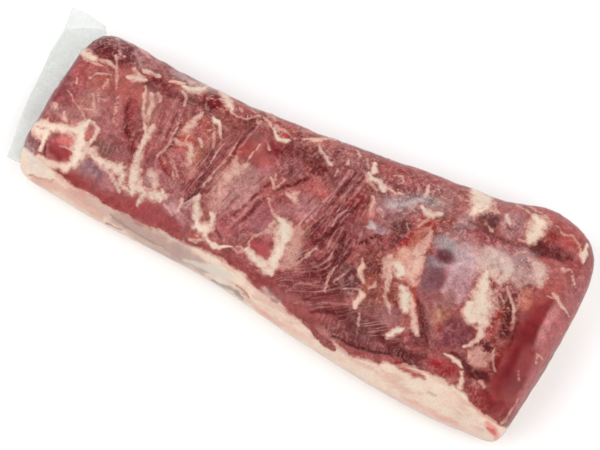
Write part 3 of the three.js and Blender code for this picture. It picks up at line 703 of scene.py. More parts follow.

# Soft strokes over the lean: a screen colour, how strongly it shows, and its line.
# Dark strokes lie in slits and hollows; their colour is the meat's deeper red there with painted shade.
LEAN_STROKES = [
    # rib end
    ((146, 60, 62), 0.9, [(-184, 26, 3), (-180, 10, 3), (-172, -4, 3), (-163, -14, 3)]),
    # The first rib hollow's dark line: deeper red with painted shade.
    ((104, 26, 31), 0.8, [(-188, 27, 1.4), (-186, 17, 1.4), (-181, 6, 1.4), (-177, 0, 1.8)]),
    ((104, 26, 31), 0.8, [(-177, 0, 1.8), (-170, -6, 1.6), (-163, -13, 1.8), (-159, -18, 2.2)]),
    ((190, 112, 110), 0.6, [(-196, 24, 2), (-190, 10, 2), (-184, -2, 2)]),
    ((192, 140, 126), 0.65, [(-172, 38, 6), (-167, 26, 5), (-162, 12, 3)]),
    ((204, 130, 126), 0.7, [(-150, 46, 1.6), (-147, 26, 1.6), (-143, 6, 1.6)]),
    ((142, 68, 72), 0.7, [(-156, 40, 1.2), (-152, 22, 1.2), (-148, 0, 1.2)]),
    ((142, 62, 68), 0.75, [(-144, 36, 1), (-141, 10, 1.2), (-140, -6, 1)]),
    ((200, 134, 130), 0.6, [(-140, 40, 1), (-139, 14, 1)]),
    ((190, 132, 130), 0.6, [(-152, -14, 1.6), (-148, -24, 1.6)]),
    ((196, 150, 148), 0.6, [(-248, -10, 1.6), (-240, -16, 1.6), (-230, -18, 1.6)]),
    ((104, 62, 56), 0.6, [(-188, -24, 2.2), (-185, -25, 2.2)]),
    ((130, 80, 78), 0.6, [(-178, -22, 3), (-168, -20, 3)]),
    ((204, 70, 84), 0.6, [(-166, 59, 1), (-157, 61, 1.4)]),
    # Pale grey on the far edge: silver skin with painted highlights of the film.
    ((184, 160, 160), 0.5, [(-168, 69, 1.6), (-158, 70, 2.4), (-146, 69, 1.6)]),
    ((220, 164, 166), 0.7, [(-234, 76.5, 1.2), (-222, 78.5, 1.4), (-208, 77.5, 1.4), (-194, 73.5, 1.2)]),
    ((182, 134, 134), 0.7, [(-208, 72, 1.6), (-201, 66, 1.8), (-196, 62, 1.4)]),
    ((180, 124, 124), 0.6, [(-230, 74, 1.4), (-222, 68, 1.6), (-216, 60, 1.2)]),
    ((178, 60, 60), 0.7, [(-190, 56, 1), (-182, 55, 1.2)]),
    ((128, 30, 34), 0.8, [(-226, -49, 2), (-214, -52, 2)]),
    ((90, 22, 22), 0.8, [(-234, -44, 0.8), (-230, -55, 1), (-227, -60, 0.9)]),
    ((120, 84, 84), 0.7, [(-250, -46, 1), (-244, -49, 1.4), (-240, -55, 1.2)]),
    ((132, 92, 100), 0.7, [(-188, -44, 3), (-180, -48, 3), (-174, -52, 2)]),
    ((84, 52, 48), 0.7, [(-164, -48, 0.8), (-160, -52, 0.9)]),
    # first and second rib gaps
    ((184, 130, 128), 0.7, [(-136, 72, 2.5), (-127, 70, 2.5)]),
    ((162, 134, 132), 0.7, [(-113, 74, 1.2), (-104, 73.5, 1.2)]),
    ((104, 20, 28), 0.8, [(-126, 64, 3), (-125, 52, 2)]),
    ((86, 20, 25), 0.8, [(-118, 56, 1.6), (-118, 50, 1)]),
    ((160, 62, 52), 0.7, [(-119, 44, 2), (-115, 38, 2.4), (-109, 36, 1.6)]),
    ((170, 78, 64), 0.6, [(-130, 18, 2), (-124, 15, 2), (-118, 19, 1.6)]),
    ((110, 48, 46), 0.75, [(-134, 26, 1.4), (-134, 2, 1.6)]),
    ((150, 40, 42), 0.85, [(-137, -12, 1), (-130, -18, 1.3), (-121, -22, 1.2), (-112, -23, 0.8)]),
    ((216, 116, 96), 0.8, [(-133, -12, 1.2), (-130, -15, 1.2)]),
    ((206, 150, 140), 0.6, [(-110, -8, 2), (-103, -7, 2)]),
    ((206, 176, 170), 0.5, [(-136, -30, 2.5), (-126, -36, 2.5)]),
    ((150, 82, 86), 0.6, [(-120, -30, 2), (-110, -36, 2)]),
    ((208, 160, 164), 0.6, [(-106, -46, 1.6), (-98, -50, 2), (-92, -54, 1.6)]),
    # third rib gap and the middle
    ((104, 27, 33), 0.8, [(-74.5, 57, 1.4), (-78, 44, 1.8), (-79, 30, 1.4), (-79, 18, 1)]),
    ((208, 140, 136), 0.7, [(-72, 60, 0.8), (-75, 44, 0.8), (-77, 30, 0.7)]),
    ((196, 124, 120), 0.6, [(-69, 58, 0.8), (-71, 48, 0.7)]),
    ((106, 32, 39), 0.95, [(-93, 4, 1.6), (-92, -10, 2.2), (-91, -24, 2), (-94, -34, 1.2)]),
    ((124, 56, 60), 0.8, [(-86, 28, 1.4), (-88, 8, 1.6), (-90, -8, 1.4)]),
    ((122, 54, 58), 0.75, [(-97, 22, 1.1), (-97, 0, 1.3), (-96, -16, 1)]),
    ((194, 118, 118), 0.6, [(-95, 36, 0.8), (-95, 16, 0.9)]),
    ((74, 22, 27), 0.8, [(-90, -22, 1.1), (-93, -33, 1), (-97, -42, 0.7)]),
    ((212, 190, 190), 0.7, [(-88, -28, 0.6), (-93, -37, 0.6), (-98, -43, 0.6)]),
    ((196, 168, 166), 0.6, [(-90, -36, 0.7), (-94, -46, 0.7)]),
    ((110, 32, 41), 0.85, [(-36, 16, 0.9), (-41, 0, 1.3), (-46, -16, 1.4), (-50, -30, 0.7)]),
    ((108, 30, 41), 0.9, [(-34, -3, 1), (-38, -18, 1.8), (-42, -34, 1)]),
    ((196, 134, 136), 0.6, [(-46, 6, 1), (-51, -12, 1), (-56, -30, 0.9)]),
    ((200, 138, 138), 0.65, [(-39, -4, 0.9), (-44, -24, 0.9), (-48, -42, 0.9)]),
    ((138, 64, 72), 0.65, [(-56, -12, 0.9), (-60, -32, 0.9)]),
    ((190, 132, 130), 0.6, [(-60, -30, 1), (-64, -46, 1)]),
    ((96, 30, 36), 0.75, [(-57, -50, 1), (-51, -54, 1.2)]),
    ((146, 84, 62), 0.8, [(-74, -40, 2.2), (-73, -46, 2.2)]),
    ((190, 66, 52), 0.75, [(-78, -62, 1), (-70, -62, 1.5), (-63, -60, 1)]),
    ((104, 24, 33), 0.9, [(-38, 74, 1), (-37, 60, 1), (-40, 46, 1.3), (-42, 38, 1)]),
    ((124, 46, 52), 0.8, [(-34, 68, 0.9), (-34, 54, 0.9), (-37, 42, 0.9)]),
    ((196, 72, 80), 0.7, [(-52, 61, 0.9), (-45, 59, 1.1)]),
    ((104, 22, 31), 0.95, [(-8, 33, 1.4), (-13, 26, 2), (-19, 20, 1.8), (-26, 13, 1.2), (-30, 8, 0.7)]),
    ((98, 24, 30), 0.75, [(-12, 48, 3), (-3, 44, 3.5), (2, 48, 2)]),
    ((116, 38, 46), 0.8, [(3, 58, 1.4), (3, 70, 2)]),
    ((120, 56, 56), 0.7, [(-24, 30, 2), (-28, 36, 2)]),
    # the middle's fibres
    ((98, 26, 33), 0.9, [(26, 58, 1), (24, 42, 1.3), (22, 30, 0.9)]),
    # The pale threads among these fibres, here and in the next pale strokes: painted highlights of the
    # film.
    ((206, 150, 144), 0.8, [(21, 56, 0.9), (19, 40, 1), (17, 26, 0.9)]),
    ((202, 142, 138), 0.75, [(31, 54, 0.8), (29, 40, 0.8), (26, 30, 0.7)]),
    ((104, 29, 34), 0.85, [(34, 50, 1), (31, 34, 1.2), (28, 18, 1)]),
    ((198, 136, 132), 0.7, [(38, 48, 0.8), (34, 34, 0.8), (31, 24, 0.7)]),
    ((98, 30, 34), 0.85, [(43, 30, 1.2), (38, 14, 1.6), (34, 0, 1.5)]),
    ((206, 156, 152), 0.75, [(36, 24, 0.6), (32, 12, 0.7), (31, 2, 0.7)]),
    ((198, 144, 142), 0.6, [(40, 20, 0.6), (36, 8, 0.6)]),
    # More pale threads: painted highlights of the film.
    ((212, 156, 154), 0.75, [(11, 18, 0.7), (8, 2, 0.7), (5, -12, 0.7)]),
    ((212, 156, 154), 0.75, [(15, 24, 0.7), (12, 8, 0.7), (9, -6, 0.7)]),
    ((212, 150, 148), 0.75, [(19, 28, 0.7), (16, 12, 0.7), (12, -4, 0.7)]),
    ((116, 46, 54), 0.75, [(13, 18, 0.7), (10, 2, 0.7), (8, -8, 0.6)]),
    ((110, 30, 39), 0.8, [(17, 20, 0.7), (14, 4, 0.7), (12, -10, 0.6)]),
    ((106, 29, 37), 0.85, [(22, 24, 0.9), (19, 6, 1), (17, -8, 0.9)]),
    ((196, 134, 134), 0.6, [(25, 20, 0.7), (22, 4, 0.7)]),
    ((96, 24, 28), 0.9, [(34, -2, 1.5), (30, -11, 2.2), (26, -21, 1.5)]),
    ((92, 22, 26), 0.85, [(43, 3, 0.9), (46, -8, 1.8), (50, -20, 2.4), (50, -31, 1.8)]),
    ((98, 26, 30), 0.85, [(57, -9, 1.4), (54, -24, 1.8), (50, -38, 1.5)]),
    ((164, 92, 92), 0.7, [(40, -4, 0.8), (40, -18, 0.9), (36, -32, 0.8)]),
    ((174, 104, 102), 0.6, [(54, -2, 0.8), (58, -12, 0.8)]),
    ((132, 84, 68), 0.8, [(12, -7, 1.8), (17, -17, 2)]),
    ((196, 150, 136), 0.6, [(8, -26, 2), (8, -40, 2)]),
    ((120, 56, 58), 0.7, [(22, -30, 1.4), (20, -44, 1)]),
    ((190, 130, 126), 0.55, [(76, -46, 0.6), (64, -54, 0.6), (48, -64, 0.6), (32, -73, 0.5)]),
    ((186, 124, 122), 0.55, [(78, -56, 0.6), (62, -62, 0.6), (44, -71, 0.5)]),
    ((190, 130, 128), 0.5, [(44, -50, 0.6), (34, -58, 0.6), (22, -68, 0.5)]),
    ((184, 122, 120), 0.5, [(34, -44, 0.6), (24, -54, 0.6), (14, -64, 0.5)]),
    ((96, 24, 30), 0.75, [(70, -50, 1.2), (56, -58, 1.2), (40, -68, 0.9)]),
    ((96, 24, 30), 0.75, [(78, -62, 1.4), (62, -68, 1.2), (50, -74, 0.9)]),
    ((104, 29, 33), 0.7, [(46, -40, 1), (34, -52, 1), (24, -60, 0.8)]),
    ((204, 184, 176), 0.6, [(2, -74, 2), (12, -76, 2.4), (20, -77, 1.6)]),
    ((220, 148, 138), 0.8, [(51, 41, 1.6), (54, 35, 2.6), (56, 27, 2.2)]),
    ((218, 168, 166), 0.6, [(61, 36, 1.2), (67, 31, 1.4)]),
    ((104, 24, 33), 0.95, [(77, 15, 1.4), (69, 9, 1.8), (63, 2, 1.6), (58, -3, 0.9)]),
    ((204, 196, 184), 0.8, [(60, 21, 1.4), (64, 18, 2), (60, 15, 1.2)]),
    # round the last rib
    ((192, 172, 175), 0.65, [(67, 43, 3.4), (74, 49, 5), (82, 56, 5), (92, 64, 3.4)]),
    ((216, 198, 200), 0.35, [(70, 43, 1), (77, 50, 1.6), (86, 58, 1.4), (92, 66, 1)]),
    ((110, 24, 31), 0.7, [(88, 74, 1.4), (82, 68, 2)]),
    ((150, 40, 42), 0.8, [(90, 56, 1), (94, 48, 1.4), (102, 45, 1.4)]),
    ((92, 29, 30), 0.8, [(148, 73, 4), (156, 71, 4)]),
    ((98, 30, 32), 0.75, [(138, 61, 1), (152, 59.5, 1.8), (165, 59, 1.6), (177, 60, 1.2)]),
    ((164, 44, 50), 0.9, [(96, 27, 1.8), (95, 19, 2.6), (92, 8, 2)]),
    ((150, 50, 30), 0.8, [(97, 16, 1.5), (100, 10, 1.2)]),
    ((204, 128, 110), 0.6, [(107, 38, 1.4), (104, 30, 2), (103, 20, 1.6)]),
    ((156, 52, 44), 0.7, [(112, 44, 2), (106, 46, 2), (102, 40, 1.6)]),
    ((196, 72, 50), 0.9, [(118, -12, 1.1), (122, -22, 1.4), (127, -32, 1.3),
                          (133, -42, 1.1), (139, -49, 0.9)]),
    ((98, 28, 31), 0.85, [(129, -27, 2), (137, -36, 3), (143, -44, 3.6), (149, -52, 3.6),
                          (152, -58, 2.4)]),
    ((166, 80, 58), 0.85, [(103, -14, 0.9), (110, -13, 1.2), (116, -16, 1.2), (121, -20, 1)]),
    ((126, 52, 46), 0.8, [(105, -28, 2), (106, -34, 2)]),
    ((126, 56, 48), 0.8, [(112, -34, 2), (115, -39, 1.8)]),
    ((110, 52, 44), 0.75, [(90, -26, 1.6), (92, -40, 2)]),
    ((98, 28, 32), 0.8, [(112, -67, 2), (128, -71, 3), (143, -70, 3.4), (156, -66, 2)]),
    ((150, 26, 32), 0.95, [(130, -77, 0.9), (141, -80, 1.5), (152, -80, 1.8), (162, -78, 1)]),
    ((88, 16, 19), 0.9, [(140, -76, 1), (152, -76.5, 1.3)]),
    ((74, 22, 23), 0.8, [(74, -81, 0.6), (95, -80.5, 0.8), (114, -78, 0.8), (130, -75, 0.8)]),
    ((104, 58, 66), 1.0, [(130, 22, 5), (134, 22, 5)]),
    ((164, 140, 144), 0.6, [(122, 14, 2), (129, 11, 2.4), (136, 13, 1.6)]),
    ((206, 174, 176), 0.5, [(146, 38, 2), (144, 12, 2), (143, -8, 2)]),
    ((150, 92, 88), 0.6, [(140, -14, 2), (148, -22, 2.4)]),
    ((150, 52, 46), 0.8, [(154, -36, 1.8), (157, -42, 1.8)]),
    ((216, 160, 130), 0.7, [(148, -26, 1.2), (152, -32, 1.4)]),
    ((116, 80, 74), 0.7, [(166, 34, 1), (172, 32, 1.4), (176, 35, 1)]),
    ((200, 130, 120), 0.6, [(152, 44, 1.4), (154, 36, 1.6)]),
    # rump
    ((118, 34, 40), 0.8, [(211, 76, 1.2), (220, 73, 1.6), (231, 70, 1.2)]),
    ((92, 32, 32), 0.8, [(198, 66, 4), (205, 64, 4)]),
    ((116, 92, 60), 0.7, [(198, 80, 1.2), (197, 73, 1.6)]),
    ((94, 24, 26), 0.85, [(203, 0, 2), (206, -12, 3), (209, -20, 2.4)]),
    ((96, 13, 19), 1.0, [(195, -34, 3), (200, -37, 3)]),
    ((134, 24, 28), 0.95, [(211, -37, 2), (213, -44, 2.6), (211, -52, 2.4), (206, -57, 2)]),
    ((94, 12, 16), 1.0, [(186, -60, 1.6), (198, -62, 3), (209, -60, 2.6)]),
    ((96, 26, 27), 0.85, [(176, -55, 1.2), (186, -57, 1.6), (194, -58, 1.4)]),
    ((100, 30, 28), 0.75, [(210, 2, 0.9), (214, -12, 1.1), (216, -26, 1.1)]),
    ((196, 118, 96), 0.6, [(208, 0, 0.9), (211, -12, 0.9)]),
    ((216, 110, 104), 0.6, [(192, -26, 1), (194, -32, 1)]),
    # The pale band down the rump end: painted sheen of the film.
    ((190, 120, 120), 0.35, [(236, 20, 2.4), (238, 2, 2.4), (238, -10, 2)]),
    ((122, 36, 42), 0.6, [(222, -26, 3), (226, -50, 3)]),
    ((120, 34, 38), 0.6, [(214, -70, 2.4), (224, -76, 2.4)]),
]

# Patches of surface: x, y, half lengths, how fibrous it is and how much it is marbled with thin membrane.
SURFACE_PATCHES = [
    (-205, 15, 55, 50, 0.12, 0.35),
    (-222, 70, 44, 12, 0.0, 1.0),
    (-190, -52, 40, 10, 0.0, 0.35),
    (-150, 10, 16, 45, 0.6, 0.35),
    (-118, 12, 24, 40, 0.2, 0.7),
    (-90, 0, 15, 50, 1.0, 0.4),
    (-106, -38, 26, 12, 0.5, 0.6),
    (-50, -15, 30, 35, 0.45, 0.4),
    (-56, 36, 22, 14, 0.1, 0.1),
    (-16, 40, 28, 25, 0.35, 0.5),
    (-30, 68, 170, 12, 0.1, 1.0),
    (38, 0, 36, 70, 1.0, 0.4),
    (60, -64, 60, 12, 0.9, 0.25),
    (90, 0, 28, 50, 0.25, 0.55),
    (90, 60, 40, 24, 0.1, 1.0),
    (150, 15, 34, 38, 0.0, 0.7),
    (136, 6, 18, 28, 0.0, 0.1),
    (154, 4, 12, 26, 0.0, 0.35),
    (186, 38, 30, 20, 0.0, 1.0),
    (168, -36, 20, 16, 0.1, 0.35),
    (202, -18, 16, 42, 0.2, 0.8),
    (232, -20, 20, 75, 0.1, 0.12),
    (216, 88, 34, 18, 0.1, 0.3),
    (212, 68, 34, 12, 0.0, 0.3),
    (144, 76, 34, 12, 0.1, 0.9),
]

# Where the lean was cut smooth, with no fibres and no flecks: strength and line.
CUT_LINES = [
    (1.0, [(-212, -64, 2.5), (-190, -63, 4), (-160, -64, 4), (-130, -62, 6),
           (-108, -58, 8), (-86, -66, 4)]),
    (0.9, [(-60, -68, 3), (-20, -66, 5), (10, -70, 5), (40, -76, 4), (60, -80, 4)]),
    (1.0, [(226, 20, 8), (228, -20, 14), (224, -60, 12)]),
    (1.0, [(-219, -44, 8)]),
    (1.0, [(-14, -46, 7)]),
    (0.7, [(-200, 38, 10), (-185, 40, 8)]),
    (0.7, [(-68, 36, 8), (-50, 30, 8)]),
]

# Stains, folds and thin places of the fat's edge, with painted shade in a fold's crease and a painted
# shadow of the film: a screen colour, how strongly it shows, and its line.
FAT_EDGE_MARKS = [
    # A darker line in the crease of a fold: painted shade.
    ((150, 104, 92), 0.8, [(-237, -73.5, 0.5), (-226, -72.5, 0.6), (-218, -72, 0.5), (-212, -70, 0.4)]),
    ((216, 166, 152), 0.8, [(-232, -75, 1.6), (-212, -73, 2.6), (-190, -74, 3), (-160, -76, 3)]),
    ((200, 158, 146), 0.7, [(-196, -71, 1.6), (-176, -73, 2), (-156, -75, 2.4)]),
    ((214, 150, 140), 0.6, [(-212, -66.5, 1), (-196, -69, 1), (-180, -70, 0.8)]),
    ((206, 172, 162), 0.85, [(-176, -71, 2), (-160, -73, 3.4), (-144, -74, 4)]),
    ((184, 152, 143), 0.95, [(-146, -74, 3), (-130, -75, 6), (-106, -76, 6.5), (-84, -76, 6)]),
    ((182, 152, 146), 0.9, [(-84, -76, 6), (-66, -77, 5), (-54, -79, 3)]),
    ((150, 122, 110), 0.7, [(-152, -74.5, 0.5), (-134, -76.5, 0.6), (-112, -78, 0.6), (-92, -78.5, 0.5)]),
    ((204, 178, 164), 0.6, [(-140, -78.5, 1), (-116, -80.5, 1.2), (-96, -80.5, 1)]),
    ((164, 84, 84), 0.6, [(-128, -69.5, 0.9), (-112, -70.5, 1)]),
    ((216, 208, 194), 0.8, [(-76, -79, 1), (-60, -77.5, 1.6), (-44, -74.5, 2), (-30, -76, 1.6)]),
    ((160, 60, 62), 0.8, [(-154, -80.5, 0.6), (-138, -80.5, 0.8)]),
    # A dark grey band where the film folds over the fat's lower edge: painted shadow.
    ((128, 116, 108), 0.75, [(-44, -83.5, 0.7), (-34, -82.5, 1), (-22, -83.5, 1.1), (-12, -85.5, 0.8)]),
    ((156, 84, 78), 0.7, [(-22, -80.5, 0.6), (-14, -81.5, 0.8), (-8, -83.5, 0.5)]),
    ((214, 176, 166), 0.7, [(-2, -77, 1.6), (8, -78.5, 2.2), (20, -79, 1.8), (32, -80, 1)]),
    ((226, 154, 142), 0.6, [(0, -86, 0.9), (8, -88, 1.2), (17, -88.5, 0.9)]),
    ((224, 178, 164), 0.6, [(20, -88.5, 1.4), (40, -89.5, 1.2), (60, -91, 1)]),
    ((206, 174, 166), 0.7, [(84, -85, 1.6), (92, -88, 1.6), (104, -84, 1.8), (112, -82, 1)]),
    ((176, 104, 96), 0.6, [(86, -83, 1), (98, -82.5, 1.2), (112, -81, 0.9)]),
    ((220, 132, 108), 0.8, [(108, -80, 0.8), (120, -79.5, 1), (136, -77.5, 0.9)]),
    ((160, 34, 36), 0.9, [(128, -78.5, 0.8), (140, -80.5, 1.3), (152, -80.5, 1.6), (163, -79, 0.8)]),
    ((232, 196, 186), 0.6, [(110, -98, 1.6), (150, -98.5, 1.8), (190, -98.5, 1.8), (224, -96.5, 1.4)]),
    ((222, 156, 146), 0.5, [(150, -95, 0.8), (176, -97, 0.9), (204, -97, 0.8)]),
    ((166, 150, 138), 0.7, [(172, -86, 0.8), (178, -86, 1)]),
    ((226, 138, 132), 0.85, [(228, -87, 1.8), (235, -89, 2.4), (240, -93, 2.2)]),
    ((196, 80, 78), 0.7, [(230, -90, 0.9), (237, -91, 1.2)]),
    ((214, 120, 116), 0.6, [(206, -79, 0.7), (220, -83.5, 0.8), (236, -84, 0.8)]),
]

# Where the film is milky, and where its milk stands in for painted sheen and highlights: strength and
# line.
HAZE_AND_SHEEN_LINES = [
    (0.25, [(-252, -58, 5), (-240, -64, 5), (-228, -68, 3)]),
    # On the far ridge: milk that stands in for the film's highlights, as painted highlights.
    (0.08, [(-164, 67, 3), (-142, 68, 3), (-122, 69, 2)]),
    (0.2, [(-50, -78, 3), (-30, -80, 3)]),
    (0.08, [(60, 44, 6), (84, 52, 8), (110, 60, 6)]),
    # Over the silver skin by the rump: milk that stands in for the film's sheen, as painted sheen.
    (0.12, [(130, 38, 8), (160, 36, 10), (190, 42, 8)]),
]

# Past three edges the drawing unrolls down the side: the axis, between which places that sets in, by how
# many millimetres for each one down, and from which height on.
UNROLLED = (
    (1, (62, 74), 1.43, 48),
    (0, (-249, -255), -1.4, 56),
    (0, (246, 252), 1.2, 54),
)

# A spot is a line of one point, and this stands for its squared length.
TINY = 1e-9
# How far a natural edge wanders, widely and finely.
WANDER_WIDE = 1.2
WANDER_FINE = 0.9

# An oval patch fades in between these squared distances from its middle, in its half lengths.
PATCH_FADE = (1.9, 0.25)

# How far the muscle's fibres lean over to the rump end for each millimetre up from FIBRE_TURN, by x. Below
# SWEEP_Y, from SWEEP_X on, they sweep down to the near edge in a curve and end almost level.
FIBRE_TILT = ((-260, -0.10), (-150, -0.10), (-90, 0.17), (-45, 0.34), (0, 0.25), (20, 0.20), (45, 0.0))
FIBRE_TURN = 5
SWEEP_Y = -25.0
SWEEP_X = (-30.0, 20.0)
SWEEP_REACH = 45.0
SWEEP_CURVE = (0.18, 0.009, 0.00025)

# Lean that no patch covers, and how much its brightness varies widely, finely and within a patch.
PLAIN_LEAN = (158, 84, 82)
LEAN_WIDE = 0.18
LEAN_FINE = 0.12
PATCH_FINE = 0.10
# The film and the shine add this much light, so the lean's colours have it taken off, down to the least.
FILM_LIFT = 0.018
LEAST_LIGHT = 0.002
# A stroke whose colour has nothing brighter than this is a hollow, and its darkness is partly painted
# shade.
DARK_STROKE = 100

# A fat line whose half width stays under THIN_LINE is a thread, that covers the lean less.
THIN_LINE = 1.25
THIN_COVER = 0.72
# The fat at the seam: the distance over which it fades, how far its edge wanders, and its tone.
SEAM_FADE = 5
SEAM_WIDE = 1.6
SEAM_FINE = 0.9
SEAM_TONE = 0.15
# The drawing repeats on the underside, so its islands and marks start at these heights.
ISLANDS_FROM = (14, 24)
MARKS_FROM = (12, 26)

# How fibrous and how marbled the lean is where no patch says. The far side is marbled less, between these
# heights and places.
PLAIN_FIBROUS = 0.3
PLAIN_MARBLED = 0.4
FAR_SIDE_LESS = 0.55
FAR_SIDE_Z = (60, 44)
FAR_SIDE_Y = (0, 40)
# Where the two cut ends start, and how much of the marbling a cut takes away.
END_FACES = ((-254, -258), (249, 252))
CUT_LESS = 0.85

# Screen colours of fat by its tone, and how much its tone and its brightness vary.
CREAM = (230, 211, 193)
PINK = (224, 176, 158)
GREENISH = (220, 211, 193)
TONE_VARIES = 0.25
FAT_VARIES = 0.06
# The lengthwise streaks of the fat's near edge: colour, strength, between which y they set in, how many
# times as long as high they are and how little they change from the top down.
STREAK = (212, 158, 146)
STREAK_SHARE = 0.55
EDGE_Y = (-60, -68)
STREAK_LENGTH = 7
STREAK_DEPTH = 0.2
# How much small blots and the streaks break up the marks on the edge.
BROKEN_BY_BLOTS = 0.18
BROKEN_BY_STREAKS = 0.22

# Heights of the relief in millimetres, between which heights of the loin it fades in, how many times as
# long as wide its fibres are and how little they change from the top down.
FINE_FIBRES = 0.28
COARSE_FIBRES = 0.35
LUMPS = 0.9
DIMPLES = 0.25
FAT_RISE = 0.7
HOLLOW_DEPTH = 0.7
RELIEF_FROM = (14, 34)
FIBRE_LENGTH = 9
FIBRE_DEPTH = 0.15


def line_share(drawn, line):
    """1 on a line, 0.5 at its half width and 0 from twice that."""
    best = np.zeros(len(drawn))
    starts = line if len(line) == 1 else line[:-1]
    ends = line if len(line) == 1 else line[1:]
    widest = max(w for _, _, w in line)
    low = np.min([p[:2] for p in line], axis=0) - 2 * widest
    high = np.max([p[:2] for p in line], axis=0) + 2 * widest
    inside = np.flatnonzero(((drawn >= low) & (drawn <= high)).all(axis=1))
    close = drawn[inside]
    for (x0, y0, w0), (x1, y1, w1) in zip(starts, ends):
        start = np.array([x0, y0], float)
        run = np.array([x1 - x0, y1 - y0], float)
        t = np.clip((close - start) @ run / max(run @ run, TINY), 0, 1)
        away = np.linalg.norm(close - start - t[:, None] * run, axis=1)
        share = np.clip(1 - 0.5 * away / (w0 + (w1 - w0) * t), 0, 1)
        best[inside] = np.maximum(best[inside], share)
    return best


def patch_share(drawn, x, y, half_x, half_y):
    """1 inside an oval patch, fading to 0 outside it."""
    away = ((drawn[:, 0] - x) / half_x) ** 2 + ((drawn[:, 1] - y) / half_y) ** 2
    return smoothstep(*PATCH_FADE, away)


def drawing_plane(points):
    """Where each point of the loin lies on the drawing plane, unrolled past the far side and both ends."""
    ray = points - DRAWN_FROM
    level = DRAWN_FROM + ray * ((DRAWN_Z - DRAWN_FROM[2]) / ray[:, 2])[:, None]
    top = DRAWN_Z - TIP_SLOPE * TIP_Y
    reach = (top - DRAWN_FROM[2] + TIP_SLOPE * DRAWN_FROM[1]) / (ray[:, 2] - TIP_SLOPE * ray[:, 1])
    tipped = DRAWN_FROM + ray * reach[:, None]
    drawn = np.where((level[:, 1] < TIP_Y)[:, None], tipped, level)[:, :2]
    for axis, edge, stretch, start in UNROLLED:
        past = smoothstep(*edge, points[:, axis])
        drawn[:, axis] += stretch * past * np.maximum(start - points[:, 2], 0)
    return drawn


def wandering(points):
    """The drawing plane's coordinates with the small wander of a natural edge."""
    moved = drawing_plane(points)
    for axis in (0, 1):
        wide = noise(points, size=13, seed=11 + axis)
        fine = noise(points, size=5, seed=21 + axis)
        moved[:, axis] += WANDER_WIDE * wide + WANDER_FINE * fine
    return moved


def fibre_coordinates(drawn):
    """Distance along and across the muscle's fibres, in millimetres."""
    x, y = drawn[:, 0], drawn[:, 1]
    tilt = np.interp(x, *zip(*FIBRE_TILT))
    swept = smoothstep(*SWEEP_X, x)
    down = np.clip(SWEEP_Y - y, 0, SWEEP_REACH)
    first, second, third = SWEEP_CURVE
    across = x - tilt * (y - FIBRE_TURN) + swept * (first * down + second * down**2 + third * down**3)
    along = y + swept * smoothstep(0, SWEEP_REACH, down) * x
    return along, across


def lean_colours(points, drawn):
    """The lean's colours, with painted shade in its slits and hollows, and how far each point lies in a
    dark hollow.
    """
    wide = layered_noise(points, size=40, seed=31)[:, None]
    fine = layered_noise(points, size=12, seed=41)[:, None]
    colours = linear(*PLAIN_LEAN) * (1 + LEAN_WIDE * wide) * (1 + LEAN_FINE * fine)
    varied = 1 + PATCH_FINE * fine
    for x, y, half_x, half_y, screen, strength in LEAN_PATCHES:
        share = strength * patch_share(drawn, x, y, half_x, half_y)
        colours = blend(colours, linear(*screen) * varied, share[:, None])
    dark = np.zeros(len(points))
    for screen, strength, line in LEAN_STROKES:
        share = strength * smoothstep(0.05, 0.75, line_share(drawn, line))
        colours = blend(colours, linear(*screen) * varied, share[:, None])
        dark = blend(dark, 1.0 if max(screen) < DARK_STROKE else 0.0, share)
    return np.maximum(colours - FILM_LIFT, LEAST_LIGHT), dark


def painted_fat(points, drawn, from_seam):
    """How near each point is to the middle of a piece of fat, the fat's tone and how much it covers."""
    fat = np.zeros(len(points))
    tone = np.zeros(len(points))
    cover = np.ones(len(points))
    for line_tone, opacity, line in FAT_LINES:
        share = line_share(drawn, line)
        if max(w for _, _, w in line) < THIN_LINE:
            opacity = opacity * THIN_COVER
        tone = np.where(share > fat, line_tone, tone)
        cover = np.where(share > fat, opacity, cover)
        fat = np.maximum(fat, share)
    edge = from_seam + SEAM_WIDE * noise(points, size=11, seed=51)
    edge += SEAM_FINE * noise(points, size=4.5, seed=52)
    seam_fat = np.clip(0.5 - edge / SEAM_FADE, 0, 1)
    tone = np.where(seam_fat > fat, SEAM_TONE, tone)
    cover = np.where(seam_fat > fat, 1.0, cover)
    fat = np.maximum(fat, seam_fat)
    above = smoothstep(*ISLANDS_FROM, points[:, 2])
    for strength, line in LEAN_ISLANDS:
        fat *= 1 - strength * above * smoothstep(0.3, 0.7, line_share(drawn, line))
    return fat, tone, cover


def smooth_cuts(points, drawn):
    """How smoothly each point was cut, and how far it lies on one of the two end faces."""
    cut = np.zeros(len(points))
    for strength, line in CUT_LINES:
        cut = np.maximum(cut, smoothstep(0.2, 0.7, line_share(drawn, line)) * strength)
    end_face = np.maximum(*[smoothstep(*face, points[:, 0]) for face in END_FACES])
    return np.maximum(cut, end_face), end_face


def lean_surface(points, drawn):
    """How fibrous and how marbled the lean is, before any cut."""
    fibrous = np.full(len(points), PLAIN_FIBROUS)
    marbled = np.full(len(points), PLAIN_MARBLED)
    for x, y, half_x, half_y, patch_fibrous, patch_marbled in SURFACE_PATCHES:
        share = patch_share(drawn, x, y, half_x, half_y)
        fibrous = blend(fibrous, patch_fibrous, share)
        marbled = blend(marbled, patch_marbled, share)
    down = smoothstep(*FAR_SIDE_Z, points[:, 2])
    marbled *= 1 - FAR_SIDE_LESS * down * smoothstep(*FAR_SIDE_Y, points[:, 1])
    return fibrous, marbled


